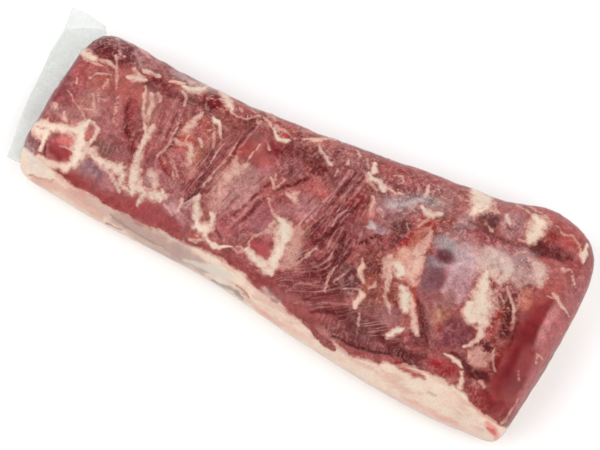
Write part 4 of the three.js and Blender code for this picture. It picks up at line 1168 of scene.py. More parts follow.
def fat_colours(points, drawn, tone):
    """The fat's colours by its tone, with the streaks and marks of its near edge."""
    cream, pink, greenish = linear(*CREAM), linear(*PINK), linear(*GREENISH)
    share = tone[:, None] + TONE_VARIES * noise(points, size=7, seed=61)[:, None]
    colours = cream + np.clip(share, 0, 1) * (pink - cream) + np.clip(-share, 0, 1) * (greenish - cream)
    colours = colours * (1 + FAT_VARIES * layered_noise(points, size=18, seed=62)[:, None])
    lengthwise = np.stack([drawn[:, 0] / STREAK_LENGTH, drawn[:, 1], STREAK_DEPTH * points[:, 2]], 1)
    streak = layered_noise(lengthwise, size=3.2, seed=63)
    on_edge = smoothstep(*EDGE_Y, drawn[:, 1])
    streaked = STREAK_SHARE * on_edge * smoothstep(0.15, 0.8, streak)
    colours = blend(colours, linear(*STREAK), streaked[:, None])
    broken = BROKEN_BY_BLOTS * layered_noise(points, size=5, seed=64) + BROKEN_BY_STREAKS * streak
    above = smoothstep(*MARKS_FROM, points[:, 2])
    for screen, strength, line in FAT_EDGE_MARKS:
        share = line_share(drawn, line)
        mark = strength * smoothstep(0.0, 0.8, share + broken) * smoothstep(0.0, 0.4, share) * above
        colours = blend(colours, linear(*screen), mark[:, None])
    return np.clip(colours, 0, 1)


def painted(points, from_seam):
    """Every surface value of the skin, by name. Colours have three columns."""
    drawn = wandering(points)
    fat, tone, cover = painted_fat(points, drawn, from_seam)
    cut, end_face = smooth_cuts(points, drawn)
    fibrous, marbled = lean_surface(points, drawn)
    lean_colour, dark = lean_colours(points, drawn)
    return {
        "fibrous": fibrous * (1 - cut),
        "marbled": marbled * (1 - CUT_LESS * cut),
        "end_face": end_face,
        "fat": fat,
        "cover": cover,
        "fat_colour": fat_colours(points, drawn, tone),
        "lean_colour": lean_colour,
        "dark": dark,
        "cut": cut,
    }


def fine_relief(points, values):
    """Height along the surface's normal, in millimetres, that the solids are too coarse to hold."""
    along, across = fibre_coordinates(drawing_plane(points))
    stretched = np.stack([along / FIBRE_LENGTH, across, points[:, 2] * FIBRE_DEPTH], 1)
    up = smoothstep(*RELIEF_FROM, points[:, 2])
    lean = (1 - values["cut"]) * (1 - smoothstep(0.3, 0.6, values["fat"])) * up
    fine = noise(stretched, size=2.6, seed=71) * FINE_FIBRES
    coarse = noise(stretched, size=5.2, seed=72) * COARSE_FIBRES
    height = lean * (fine + coarse)
    lumps = LUMPS * layered_noise(points, size=24, seed=73)
    height += up * (lumps + DIMPLES * noise(points, size=6, seed=74))
    height += up * FAT_RISE * smoothstep(0.35, 0.7, values["fat"])
    height -= up * HOLLOW_DEPTH * values["dark"]
    return height


# ---- Meshes ----------------------------------------------

# The hidden face closes each part in rings, each this share of the way from the last to the loin's middle.
# Lengthwise they come in by only this share of that.
RING_SHARES = (0.06, 0.16, 0.3, 0.5)
RING_LENGTHWISE = 0.3
MIDDLE = (sum(CORE_X) / 2, 10.0, CORE_Z)
# In metres: where the rays that find the hidden face start, above and below, and its height if they miss.
CAST_ABOVE = 0.2
CAST_BELOW = -0.1
HIDDEN_Z = 0.013


def new_object(name, bm, material):
    """A smooth-shaded object with the bmesh's shape."""
    mesh = bpy.data.meshes.new(name)
    bm.to_mesh(mesh)
    bm.free()
    for polygon in mesh.polygons:
        polygon.use_smooth = True
    mesh.materials.append(material)
    made = bpy.data.objects.new(name, mesh)
    bpy.context.scene.collection.objects.link(made)
    return made


def write_layers(bm, values):
    """Stores each painted value on the bmesh's points."""
    for name, value in values.items():
        if value.ndim == 1:
            layer = bm.verts.layers.float.new(name)
            for vert, number in zip(bm.verts, value.tolist()):
                vert[layer] = number
        else:
            layer = bm.verts.layers.float_color.new(name)
            opaque = np.column_stack([value, np.ones(len(value))])
            for vert, colour in zip(bm.verts, opaque.tolist()):
                vert[layer] = colour


_made = {}


def meat_skin(sizes):
    """The finished outside of lean and fat together, made once."""
    if "meat" not in _made:
        skin = Skin((sizes.cells_along, sizes.cells_across, sizes.cells_high), sizes.smoothing)
        values = painted(skin.points, skin.from_seam)
        skin.points += skin.normals() * (fine_relief(skin.points, values) * sizes.relief)[:, None]
        skin.points[:, 2] = np.maximum(skin.points[:, 2], UNDER_GAP)
        # Only the relief needs to know the cuts.
        del values["cut"]
        values["fibre_along"], values["fibre_across"] = fibre_coordinates(drawing_plane(skin.points))
        write_layers(skin.bm, values)
        place(skin.bm, to_row(skin.points))
        _made["meat"] = skin
    return _made["meat"]


def hidden_heights(node, x, y, from_above):
    """Height of the hidden face of a solid at points inside the loin."""
    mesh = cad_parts[node].data
    corners = [v.co.copy() for v in mesh.vertices]
    tree = BVHTree.FromPolygons(corners, [list(p.vertices) for p in mesh.polygons])
    start = CAST_ABOVE if from_above else CAST_BELOW
    towards = Vector((0, 0, -1 if from_above else 1))
    heights = []
    for px, py in zip(x, y):
        hit, _, _, _ = tree.ray_cast(Vector((px, py, start)), towards)
        heights.append(hit.z if hit is not None else HIDDEN_Z)
    return heights


def closed_part(skin, node, keep_above):
    """The skin's share above or below the seam, closed by the hidden face that the solid has there."""
    bm = skin.bm.copy()
    bm.verts.ensure_lookup_table()
    heights = skin.box[:, 2]
    wrong = heights < skin.level - CLOSE if keep_above else heights > skin.level + CLOSE
    bmesh.ops.delete(bm, geom=[bm.verts[i] for i in np.flatnonzero(wrong)], context="VERTS")
    edges = [e for e in bm.edges if e.is_boundary]
    middle = to_row(np.array(MIDDLE))
    for inwards in RING_SHARES:
        made = bmesh.ops.extrude_edge_only(bm, edges=edges)["geom"]
        edges = [g for g in made if isinstance(g, bmesh.types.BMEdge) and g.is_boundary]
        verts = list({v for e in edges for v in e.verts})
        x = [blend(v.co.x, blend(v.co.x, middle[0], RING_LENGTHWISE), inwards) for v in verts]
        y = [blend(v.co.y, middle[1], inwards) for v in verts]
        for vert, px, py, pz in zip(verts, x, y, hidden_heights(node, x, y, not keep_above)):
            vert.co = (px, py, pz)
    bmesh.ops.holes_fill(bm, edges=edges, sides=0)
    bmesh.ops.triangulate(bm, faces=[f for f in bm.faces if len(f.verts) > 4])
    bmesh.ops.recalc_face_normals(bm, faces=bm.faces)
    return bm


# ---- The bag ---------------------------------------------

# How far the film may stand off over a slit, and the smoothing passes that draw it over.
FILM_BRIDGE = 1.5
FILM_SMOOTHING = 6
# The film's haze everywhere, how much it varies, and the height from which on it shows in full.
PLAIN_HAZE = 0.001
HAZE_VARIES = 0.003
HAZE_FULL_Z = 10

# The bag's loose end: y and x of where its sheets start inside the rib end and of where they stop, from
# the near side on.
BAG_ROOT = ((-62, -247), (-40, -252), (0, -254), (60, -254), (88, -252), (94, -256))
BAG_TIP = ((-62, -271), (-30, -279), (10, -285), (50, -291), (77, -293), (100, -297))
BAG_Z = 34.0
BAG_ROWS = 120
BAG_COLUMNS = 40
BAG_THICKNESS = 0.3
# How far the two sheets lie apart from the middle, and how much farther at the meat, over which share.
BAG_PART = 0.7
BAG_OPEN = 5.0
BAG_OPEN_SHARE = 0.45
# The share of the bag's width at which the lower sheet stops at its tip.
BAG_SHORT = 0.87
# How far the far corner bulges, from which share of the width on and how fully, and the heights of the
# sheets' waves, folds and crinkles. A wave has a share of that height and its angles by width and length.
BAG_CORNER = 3.0
BAG_CORNER_FROM = 0.88
BAG_BULGE_POWER = 0.8
BAG_WAVE = 2.2
BAG_WAVES = ((0.6, 17, 2), (1.0, 7.3, -1.3))
BAG_FOLDS = 0.6
BAG_CRINKLES = 0.2
# The folds' width as a share of their length, and how much they slant.
FOLD_STRETCH = 0.35
FOLD_SLANT = 0.3
# The sheets' haze, how much it varies, and how much milkier the tip's rim and the single sheet are.
BAG_HAZE = 0.35
BAG_HAZE_VARIES = 0.04
BAG_RIM_HAZE = 0.05
BAG_SINGLE_HAZE = 0.22


def grid_keys(box, cells, step):
    """Whole-numbered places in the box's grid, as keys."""
    places = np.rint((box + 1) / 2 * np.array(cells)) * step
    return [tuple(key) for key in places.astype(int).tolist()]


def tight_film(skin, gap):
    """A closed film over the whole loin, that bridges its slits. Its cells are twice the meat's."""
    edges = np.array([[v.index for v in e.verts] for e in skin.bm.edges])
    normals = skin.normals()
    ends = np.concatenate([edges, edges[:, ::-1]])
    steps = skin.points[ends[:, 1]] - skin.points[ends[:, 0]]
    crest = np.zeros(len(skin.points))
    np.maximum.at(crest, ends[:, 0], np.einsum("ij,ij->i", steps, normals[ends[:, 0]]))
    lookup = {key: i for i, key in enumerate(grid_keys(skin.box, skin.cells, 1))}
    half = [c // 2 for c in skin.cells]
    bm = unit_box(half)
    chosen = np.array([lookup[key] for key in grid_keys(coordinates(bm), half, 2)])
    points = skin.points[chosen]
    outwards = normals[chosen]
    place(bm, points)
    smooth(bm, FILM_SMOOTHING)
    bridge = np.einsum("ij,ij->i", coordinates(bm) - points, outwards)
    lift = gap / MM + crest[chosen] + np.clip(bridge, 0, FILM_BRIDGE)
    points = points + outwards * lift[:, None]
    points[:, 2] = np.maximum(points[:, 2], 0)
    drawn = drawing_plane(points)
    haze = PLAIN_HAZE + HAZE_VARIES * np.clip(layered_noise(points, size=30, seed=81), 0, 1)
    for strength, line in HAZE_AND_SHEEN_LINES:
        haze = np.maximum(haze, smoothstep(0, 0.9, line_share(drawn, line)) * strength)
    haze *= smoothstep(0, HAZE_FULL_Z, points[:, 2])
    write_layers(bm, {"haze": haze})
    place(bm, to_row(points))
    return bm


def bag_layer(bm, layer):
    """Adds one sheet of the bag's loose end and returns its haze. The lower one stops short."""
    before = len(bm.verts)
    bmesh.ops.create_grid(bm, x_segments=BAG_COLUMNS, y_segments=BAG_ROWS, size=1.0)
    bm.verts.ensure_lookup_table()
    verts = bm.verts[before:]
    at = np.array([v.co[:2] for v in verts]) / 2 + 0.5
    out = at[:, 0]
    short = blend(1.0, BAG_SHORT, out)
    over = at[:, 1] * (1.0 if layer > 0 else short)
    y_root = blend(BAG_ROOT[0][0], BAG_ROOT[-1][0], over)
    y_tip = blend(BAG_TIP[0][0], BAG_TIP[-1][0], over)
    x = blend(np.interp(y_root, *zip(*BAG_ROOT)), np.interp(y_tip, *zip(*BAG_TIP)), out)
    bulge = np.sin(np.pi * np.clip(out, 0, 1)) ** BAG_BULGE_POWER
    y = blend(y_root, y_tip, out) + BAG_CORNER * smoothstep(BAG_CORNER_FROM, 1.0, over) * bulge
    wave = np.zeros(len(out))
    for height, by_width, by_length in BAG_WAVES:
        wave += height * np.sin(over * by_width + out * by_length)
    z = BAG_Z + BAG_WAVE * out * wave
    open_end = np.clip(1 - out / BAG_OPEN_SHARE, 0, 1) ** 2
    z += layer * (BAG_PART + BAG_OPEN * open_end)
    # The two sheets take their noise from different heights, so they don't crease alike.
    flat = np.stack([x, y, np.full(len(x), 10.0 * layer)], 1)
    folds = np.stack([x * FOLD_STRETCH, y + FOLD_SLANT * x, np.full(len(x), 3.0 * layer)], 1)
    crinkles = BAG_CRINKLES * layered_noise(flat, size=8, seed=92)
    z += BAG_FOLDS * noise(folds, size=11, seed=91) + crinkles
    for vert, point in zip(verts, to_row(np.stack([x, y, z], 1)).tolist()):
        vert.co = point
    haze = BAG_HAZE + BAG_HAZE_VARIES * layered_noise(flat, size=22, seed=93)
    rim = BAG_RIM_HAZE * smoothstep(0.9, 1.0, out)
    haze += rim + BAG_SINGLE_HAZE * smoothstep(0.0, 0.02, over - short)
    return haze


# ---- Materials -------------------------------------------

# Noises of the meat, in the object's metres and along its fibres: scale, detail, roughness, distortion.
SURFACE_NOISES = {
    "grain": (650.0, 3.0, 0.6, 0.0),
    "speckle": (700.0, 2.0, 0.6, 0.0),
    "mottle": (190.0, 4.0, 0.72, 0.3),
    "blots": (105.0, 4.0, 0.70, 0.5),
    "clouds": (55.0, 4.0, 0.62, 0.4),
    "web": (95.0, 4.0, 0.6, 1.2),
}
FIBRE_NOISES = {
    "streaks": (0.5, 4.0, 0.66, 0.5),
    "threads": (0.85, 3.0, 0.62, 0.4),
}
# Most of a noise lies between these values, and nearly all of it between those of the wide spread.
SPREAD = (0.32, 0.68)
WIDE_SPREAD = (0.30, 0.70)
# The scale of the fibres' noises along and across the fibres, for each millimetre.
FIBRE_SCALE = (0.05, 0.5)
PAINTED_VALUES = ("fibrous", "marbled", "dark", "fat", "cover", "end_face")

# Screen colours that the meat's noises bring out.
MURK = (104, 32, 36)
FIBRE_GAP = (98, 28, 34)
# Pale membrane; as threads along the fibres and as a web it also gives painted highlights of the film.
MEMBRANE_AND_SHEEN = (216, 158, 148)
FRINGE = (206, 142, 130)
THIN_FAT = (220, 170, 152)
PINK_BLOT = (218, 174, 155)
TAN_MOTTLE = (208, 182, 160)
END_SPECK = (228, 200, 186)

# How strongly each of them shows at most. Murk shows by how marbled the lean is, and a little everywhere.
MURK_SHARES = (0.60, 0.08)
GAP_SHARE = 0.75
THREAD_SHARE = 0.60
FLECK_SHARE = 0.85
WEB_SHARE = 0.45
FRINGE_SHARE = 0.45
THIN_FAT_SHARE = 0.55
PINK_BLOT_SHARE = 0.35
TAN_MOTTLE_SHARE = 0.26
WORN_SHARE = 0.45
SPECK_SHARE = 0.8
# How far mottle and blots move the edge of fat, how dark and how bright the noises make the lean, and what
# of the speckle is left on fat.
RAGGED_MOTTLE = 0.24
RAGGED_BLOTS = 0.17
BLOT_SHADE = (0.80, 1.18)
MOTTLE_SHADE = (0.84, 1.16)
SPECKLE_SHADE = (0.78, 1.24)
SPECKLE_ON_FAT = 0.35

# The meat's shading relief: bare strands, grain, and mottle by how marbled the lean is and everywhere.
STRAND_BUMP = 0.8
GRAIN_BUMP = 0.25
MOTTLE_BUMPS = (0.8, 0.3)
MEAT_BUMP = {"Strength": 0.6, "Distance": 0.001}
# How much the grain changes the roughness.
MEAT_ROUGH = (-0.06, 0.10)
MEAT_SHADER = {
    "Specular IOR Level": 0.12,
    "Subsurface Weight": 0.06,
    "Subsurface Radius": (0.004, 0.0015, 0.001),
    "Subsurface Scale": 0.5,
}

FILM_NOISE = (90.0, 3.0, 0.6, 0.6)
FILM_BUMP = {"Strength": 0.4, "Distance": 0.0015}
FILM_IOR = 1.4
MILK_VARIES = (0.75, 1.25)


class Tree:
    """Adds nodes to a material, with inputs given as values or as other nodes' outputs."""

    def __init__(self, name):
        self.material = bpy.data.materials.new(name)
        self.material.use_nodes = True
        self.nodes = self.material.node_tree.nodes
        self.links = self.material.node_tree.links
        self.nodes.clear()

    def add(self, kind, inputs=None, **settings):
        node = self.nodes.new("ShaderNode" + kind)
        for key, value in settings.items():
            setattr(node, key, value)
        for key, value in (inputs or {}).items():
            if isinstance(value, bpy.types.NodeSocket):
                self.links.new(value, node.inputs[key])
            else:
                node.inputs[key].default_value = value
        return node

    def attribute(self, name, output="Fac"):
        return self.add("Attribute", attribute_name=name).outputs[output]

    def math(self, operation, *values, clamp=False):
        inputs = dict(enumerate(values))
        return self.add("Math", inputs, operation=operation, use_clamp=clamp).outputs[0]

    def times(self, first, second):
        return self.math("MULTIPLY", first, second)

    def plus(self, first, second):
        return self.math("ADD", first, second)

    def left(self, share):
        """What a share leaves of the whole."""
        return self.math("SUBTRACT", 1.0, share)

    def mapped(self, value, low, high, out_low=0.0, out_high=1.0, smooth=True):
        """The value moved from the range low to high, which may run downwards, to the other range."""
        node = self.add(
            "MapRange",
            {"Value": value, "From Min": low, "From Max": high, "To Min": out_low, "To Max": out_high},
            interpolation_type="SMOOTHSTEP" if smooth else "LINEAR",
        )
        return node.outputs["Result"]

    def mix(self, share, first, second, blend_type="MIX"):
        """Two colours mixed. A Mix node's colour sockets are told apart by their numbers alone."""
        inputs = {0: share, 6: first, 7: second}
        node = self.add("Mix", inputs, data_type="RGBA", blend_type=blend_type, clamp_factor=True)
        return node.outputs[2]

    def tinted(self, share, colour, screen):
        """The colour, with a screen colour over it."""
        return self.mix(share, colour, rgba(linear(*screen)))

    def shaded(self, share, colour, shade):
        """The colour, made darker or brighter by a number."""
        grey = self.add("CombineXYZ", {"X": shade, "Y": shade, "Z": shade}).outputs[0]
        return self.mix(share, colour, grey, "MULTIPLY")

    def noise(self, vector, scale, detail, roughness, distortion):
        inputs = {
            "Vector": vector,
            "Scale": scale,
            "Detail": detail,
            "Roughness": roughness,
            "Distortion": distortion,
        }
        return self.add("TexNoise", inputs).outputs["Fac"]

    def object_coordinates(self):
        return self.add("TexCoord").outputs["Object"]

    def bump(self, height, shape):
        return self.add("Bump", {"Height": height, **shape}).outputs["Normal"]

    def finish(self, shader):
        output = self.add("OutputMaterial")
        self.links.new(shader, output.inputs["Surface"])
        return self.material


def rgba(colour):
    return (*[float(c) for c in colour], 1.0)


def meat_values(tree):
    """The painted values and the noises that the layers of the meat share, by name."""
    place_on = tree.object_coordinates()
    along = tree.times(tree.attribute("fibre_along"), FIBRE_SCALE[0])
    across = tree.times(tree.attribute("fibre_across"), FIBRE_SCALE[1])
    fibre = tree.add("CombineXYZ", {"X": along, "Y": across}).outputs[0]
    at = SimpleNamespace()
    for name in PAINTED_VALUES:
        setattr(at, name, tree.attribute(name))
    for name, shape in SURFACE_NOISES.items():
        setattr(at, name, tree.noise(place_on, *shape))
    for name, shape in FIBRE_NOISES.items():
        setattr(at, name, tree.noise(fibre, *shape))
    at.patchy = tree.mapped(at.clouds, 0.38, 0.62, 0.25, 1.0)
    return at


def lean_layer(tree, at):
    """The lean's colour, with darker blots and dark gaps between its fibres."""
    shade = tree.mapped(at.blots, *WIDE_SPREAD, *BLOT_SHADE, smooth=False)
    shade = tree.times(shade, tree.mapped(at.mottle, *SPREAD, *MOTTLE_SHADE, smooth=False))
    lean = tree.shaded(1.0, tree.attribute("lean_colour", "Color"), shade)
    murky = tree.math("MULTIPLY_ADD", at.marbled, *MURK_SHARES)
    murk = tree.times(tree.mapped(at.blots, 0.53, 0.38), murky)
    lean = tree.tinted(tree.times(murk, at.patchy), lean, MURK)
    gaps = tree.times(tree.mapped(at.streaks, 0.52, 0.36), tree.times(at.fibrous, GAP_SHARE))
    return tree.tinted(gaps, lean, FIBRE_GAP)


def membrane_and_sheen_layer(tree, at, colour):
    """Pale threads, flecks and webs over the lean: membrane, with painted highlights of the film in its
    threads and webs.
    """
    patchy = tree.times(at.patchy, tree.left(at.dark))
    threads = tree.times(tree.mapped(at.threads, 0.52, 0.66), tree.times(at.fibrous, THREAD_SHARE))
    colour = tree.tinted(tree.times(threads, patchy), colour, MEMBRANE_AND_SHEEN)
    flecks = tree.times(tree.mapped(at.mottle, 0.50, 0.61), tree.times(at.marbled, FLECK_SHARE))
    colour = tree.tinted(tree.times(flecks, patchy), colour, MEMBRANE_AND_SHEEN)
    ridge = tree.math("ABSOLUTE", tree.math("SUBTRACT", at.web, 0.5))
    web = tree.times(tree.mapped(ridge, 0.040, 0.004), tree.times(at.marbled, WEB_SHARE))
    return tree.tinted(tree.times(web, tree.mapped(at.clouds, 0.62, 0.46)), colour, MEMBRANE_AND_SHEEN)


def fat_layer(tree, at, colour):
    """Fat with a ragged edge and a pink fringe. Returns the colour and how far the fat covers it."""
    ragged = tree.mapped(at.mottle, *SPREAD, -RAGGED_MOTTLE, RAGGED_MOTTLE, smooth=False)
    blots = tree.mapped(at.blots, *SPREAD, -RAGGED_BLOTS, RAGGED_BLOTS, smooth=False)
    level = tree.plus(at.fat, tree.plus(ragged, blots))
    near = tree.mapped(at.fat, 0.02, 0.20)
    fringe = tree.times(tree.times(tree.mapped(level, 0.02, 0.50), FRINGE_SHARE), near)
    colour = tree.tinted(fringe, colour, FRINGE)
    fat = tree.attribute("fat_colour", "Color")
    fat = tree.tinted(tree.mapped(level, 0.95, 0.45, 0.0, THIN_FAT_SHARE), fat, THIN_FAT)
    fat = tree.tinted(tree.mapped(at.blots, 0.54, 0.66, 0.0, PINK_BLOT_SHARE), fat, PINK_BLOT)
    fat = tree.tinted(tree.mapped(at.mottle, 0.54, 0.66, 0.0, TAN_MOTTLE_SHARE), fat, TAN_MOTTLE)
    share = tree.times(tree.mapped(level, 0.12, 0.80), near)
    worn = tree.mapped(at.mottle, 0.58, 0.40, 0.0, WORN_SHARE)
    worn = tree.times(tree.mapped(at.cover, 1.0, 0.7), worn)
    share = tree.times(share, tree.times(at.cover, tree.left(worn)))
    return tree.mix(share, colour, fat), share


def meat_normal(tree, at, fat_share):
    """The fine relief of bare fibres, mottle and grain."""
    strands = tree.times(tree.plus(at.streaks, at.threads), tree.times(at.fibrous, tree.left(fat_share)))
    height = tree.plus(tree.times(strands, STRAND_BUMP), tree.times(at.grain, GRAIN_BUMP))
    mottle = tree.times(at.mottle, tree.math("MULTIPLY_ADD", at.marbled, *MOTTLE_BUMPS))
    return tree.bump(tree.plus(height, mottle), MEAT_BUMP)


def meat_material(name, look):
    """Raw beef under film: fibrous lean, silver skin and fat, laid out by the painted values."""
    tree = Tree(name)
    at = meat_values(tree)
    colour = membrane_and_sheen_layer(tree, at, lean_layer(tree, at))
    colour, fat_share = fat_layer(tree, at, colour)
    # The cut ends are marbled with specks of fat.
    specks = tree.times(tree.mapped(at.mottle, 0.60, 0.66), at.end_face)
    colour = tree.tinted(tree.times(specks, SPECK_SHARE), colour, END_SPECK)
    # The finest speckle is weaker on fat.
    speckle = tree.mapped(at.speckle, *WIDE_SPREAD, *SPECKLE_SHADE, smooth=False)
    colour = tree.shaded(tree.mapped(fat_share, 0.0, 1.0, 1.0, SPECKLE_ON_FAT), colour, speckle)
    smoothest, roughest = (look.roughness + change for change in MEAT_ROUGH)
    inputs = {
        "Base Color": colour,
        "Roughness": tree.mapped(at.grain, *WIDE_SPREAD, smoothest, roughest, smooth=False),
        "Normal": meat_normal(tree, at, fat_share),
        **MEAT_SHADER,
    }
    return tree.finish(tree.add("BsdfPrincipled", inputs).outputs[0])


def film_material(name, look):
    """Clear shrink film: see-through, glossy, finely wrinkled and milky where its haze value says."""
    tree = Tree(name)
    wrinkle = tree.noise(tree.object_coordinates(), *FILM_NOISE)
    surface = {"Roughness": look.film_roughness, "Normal": tree.bump(wrinkle, FILM_BUMP)}
    gloss = tree.add("BsdfGlossy", surface).outputs[0]
    clear = tree.add("BsdfTransparent").outputs[0]
    fresnel = tree.add("Fresnel", {"IOR": FILM_IOR, "Normal": surface["Normal"]}).outputs[0]
    film = tree.add("MixShader", {0: tree.times(fresnel, look.film_gloss), 1: clear, 2: gloss}).outputs[0]
    colour = rgba(linear(*[c * 255 for c in look.film_colour]))
    milk = tree.add("BsdfPrincipled", {"Base Color": colour, **surface}).outputs[0]
    varied = tree.mapped(wrinkle, 0.25, 0.75, *MILK_VARIES, smooth=False)
    haze = tree.math("MULTIPLY", tree.attribute("haze"), varied, clamp=True)
    return tree.finish(tree.add("MixShader", {0: haze, 1: film, 2: milk}).outputs[0])


# ---- Properties ------------------------------------------


class STRIPLOIN_PG_sizes(bpy.types.PropertyGroup):
    cells_along: IntProperty(
        name="Cells along", description="Grid cells along the loin", default=344, min=60, max=500
    )
    cells_across: IntProperty(
        name="Cells across", description="Grid cells across the top", default=140, min=30, max=220
    )
    cells_high: IntProperty(
        name="Cells high", description="Grid cells up the sides", default=68, min=16, max=120
    )
    smoothing: IntProperty(
        name="Smoothing",
        description="Smoothing passes over the solids' facets",
        default=36,
        min=0,
        max=100,
    )
    relief: FloatProperty(
        name="Relief", description="Scale of the fine relief", default=1.0, min=0.0, max=3.0
    )
    film_gap: FloatProperty(
        name="Film gap",
        description="Clearance of the film over the meat",
        default=0.0004,
        subtype="DISTANCE",
        unit="LENGTH",
    )


class STRIPLOIN_PG_looks(bpy.types.PropertyGroup):
    roughness: FloatProperty(
        name="Meat roughness",
        description="Roughness of the meat",
        default=0.42,
        min=0,
        max=1,
        subtype="FACTOR",
    )
    film_colour: FloatVectorProperty(
        name="Film colour",
        description="Screen colour of the milky film",
        default=(0.905, 0.92, 0.905),
        subtype="COLOR",
    )
    film_gloss: FloatProperty(
        name="Film gloss",
        description="Strength of the film's reflections",
        default=0.36,
        min=0,
        max=1,
        subtype="FACTOR",
    )
    film_roughness: FloatProperty(
        name="Film roughness",
        description="Roughness of the film",
        default=0.16,
        min=0,
        max=1,
        subtype="FACTOR",
    )
    floor_colour: FloatVectorProperty(
        name="Floor colour",
        description="Linear colour of the floor",
        default=(0.97, 0.97, 0.97),
        subtype="COLOR",
    )


# ---- Stage -----------------------------------------------

# Lengths here are metres.
FLOOR_HALF = 4.0
FLOOR_DROP = 0.0006
FLOOR_ROUGHNESS = 0.8
WORLD_STRENGTH = 0.58
# Lights: name, place, diameter and power in watts. All of them face the object.
LIGHTS = (
    ("key", (-1.3, -1.0, 1.5), 2.4, 29.0),
    ("fill", (1.7, -0.5, 1.5), 2.4, 22.0),
    ("rim", (0.1, 1.8, 1.2), 1.6, 16.0),
)
# The camera stands where the features were drawn from, and looks at this point of the loin's frame.
LOOK_AT = (0.0, 0.0, 40.0)
LENS = 100.0
FARTHEST = 50


def stand(name, data, at, target):
    """Puts a light or a camera into the scene, facing its target."""
    made = bpy.data.objects.new(name, data)
    made.location = at
    made.rotation_mode = "QUATERNION"
    made.rotation_quaternion = (Vector(target) - Vector(at)).to_track_quat("-Z", "Y")
    bpy.context.scene.collection.objects.link(made)
    return made


def add_floor(colour):
    bm = bmesh.new()
    drop = Matrix.Translation((0, 0, -FLOOR_DROP))
    bmesh.ops.create_grid(bm, x_segments=1, y_segments=1, size=FLOOR_HALF, matrix=drop)
    tree = Tree("Pale floor")
    matt = tree.add("BsdfPrincipled", {"Base Color": rgba(colour), "Roughness": FLOOR_ROUGHNESS})
    new_object("floor", bm, tree.finish(matt.outputs[0]))


def add_world():
    world = bpy.data.worlds.new("Soft light")
    world.use_nodes = True
    background = world.node_tree.nodes["Background"]
    background.inputs["Color"].default_value = (1, 1, 1, 1)
    background.inputs["Strength"].default_value = WORLD_STRENGTH
    bpy.context.scene.world = world


def add_light(name, at, size, power):
    lamp = bpy.data.lights.new(name, "AREA")
    lamp.shape = "DISK"
    lamp.size = size
    lamp.energy = power
    stand(name, lamp, at, (0, 0, 0))


def add_camera():
    data = bpy.data.cameras.new("camera")
    data.lens = LENS
    data.clip_end = FARTHEST
    made = stand("camera", data, to_row(DRAWN_FROM), to_row(np.array(LOOK_AT)))
    bpy.context.scene.camera = made


# ---- Operators -------------------------------------------


class STRIPLOIN_OT_lean(bpy.types.Operator):
    """Build the lean with its silver skin, fat seams and cut faces"""

    bl_idname = "striploin.lean"
    bl_label = "Lean"

    def execute(self, context):
        scene = context.scene
        bm = closed_part(meat_skin(scene.striploin_sizes), "lean", True)
        lean = new_object("lean_meat", bm, meat_material("Raw beef", scene.striploin_looks))
        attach(lean, "root")
        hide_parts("lean")
        return {"FINISHED"}


class STRIPLOIN_OT_fat_cap(bpy.types.Operator):
    """Build the fat cap under the loin and up its near side"""

    bl_idname = "striploin.fat_cap"
    bl_label = "Fat cap"

    def execute(self, context):
        scene = context.scene
        bm = closed_part(meat_skin(scene.striploin_sizes), "fat_cap", False)
        fat = new_object("fat_layer", bm, meat_material("Beef fat", scene.striploin_looks))
        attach(fat, "root")
        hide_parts("fat_cap")
        return {"FINISHED"}


class STRIPLOIN_OT_film(bpy.types.Operator):
    """Build the tight clear film over the meat"""

    bl_idname = "striploin.film"
    bl_label = "Tight film"

    def execute(self, context):
        scene = context.scene
        sizes = scene.striploin_sizes
        bm = tight_film(meat_skin(sizes), sizes.film_gap)
        film = new_object("tight_film", bm, film_material("Clear film", scene.striploin_looks))
        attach(film, "root")
        return {"FINISHED"}


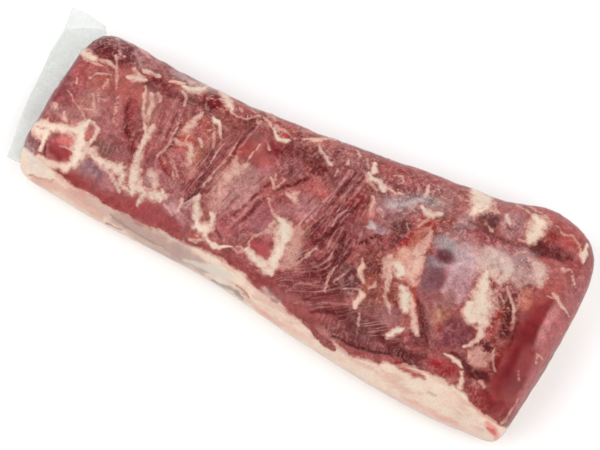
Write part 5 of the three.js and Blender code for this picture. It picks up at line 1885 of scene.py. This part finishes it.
class STRIPLOIN_OT_bag_end(bpy.types.Operator):
    """Build the loose end of the bag past the rib end"""

    bl_idname = "striploin.bag_end"
    bl_label = "Bag end"

    def execute(self, context):
        bm = bmesh.new()
        haze = np.concatenate([bag_layer(bm, layer) for layer in (1, -1)])
        write_layers(bm, {"haze": haze})
        sheets = bm.verts[:] + bm.edges[:] + bm.faces[:]
        bmesh.ops.solidify(bm, geom=sheets, thickness=BAG_THICKNESS * MM)
        bag = new_object("bag_loose_end", bm, film_material("Milky film", context.scene.striploin_looks))
        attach(bag, "root")
        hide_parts("bag_end")
        return {"FINISHED"}


class STRIPLOIN_OT_stage(bpy.types.Operator):
    """Build the pale floor, the soft lights and the camera"""

    bl_idname = "striploin.stage"
    bl_label = "Stage"

    def execute(self, context):
        add_floor(context.scene.striploin_looks.floor_colour)
        add_world()
        for light in LIGHTS:
            add_light(*light)
        add_camera()
        context.scene.view_settings.view_transform = "Standard"
        return {"FINISHED"}


class STRIPLOIN_PT_panel(bpy.types.Panel):
    bl_idname = "STRIPLOIN_PT_panel"
    bl_label = "Striploin"
    bl_space_type = "VIEW_3D"
    bl_region_type = "UI"
    bl_category = PANEL_TAB

    def draw(self, context):
        for group in (context.scene.striploin_sizes, context.scene.striploin_looks):
            for name in group.bl_rna.properties.keys():
                if name not in ("rna_type", "name"):
                    self.layout.prop(group, name)
        for operator in BUILD_ORDER:
            self.layout.operator(operator.bl_idname)


BUILD_ORDER = (
    STRIPLOIN_OT_lean,
    STRIPLOIN_OT_fat_cap,
    STRIPLOIN_OT_film,
    STRIPLOIN_OT_bag_end,
    STRIPLOIN_OT_stage,
)
CLASSES = (STRIPLOIN_PG_sizes, STRIPLOIN_PG_looks, *BUILD_ORDER, STRIPLOIN_PT_panel)


def register():
    for cls in CLASSES:
        bpy.utils.register_class(cls)
    bpy.types.Scene.striploin_sizes = PointerProperty(type=STRIPLOIN_PG_sizes)
    bpy.types.Scene.striploin_looks = PointerProperty(type=STRIPLOIN_PG_looks)


def unregister():
    del bpy.types.Scene.striploin_sizes
    del bpy.types.Scene.striploin_looks
    for cls in reversed(CLASSES):
        bpy.utils.unregister_class(cls)


def main():
    register()
    for operator in BUILD_ORDER:
        group, name = operator.bl_idname.split(".")
        getattr(getattr(bpy.ops, group), name)()


if __name__ == "__main__":
    main()
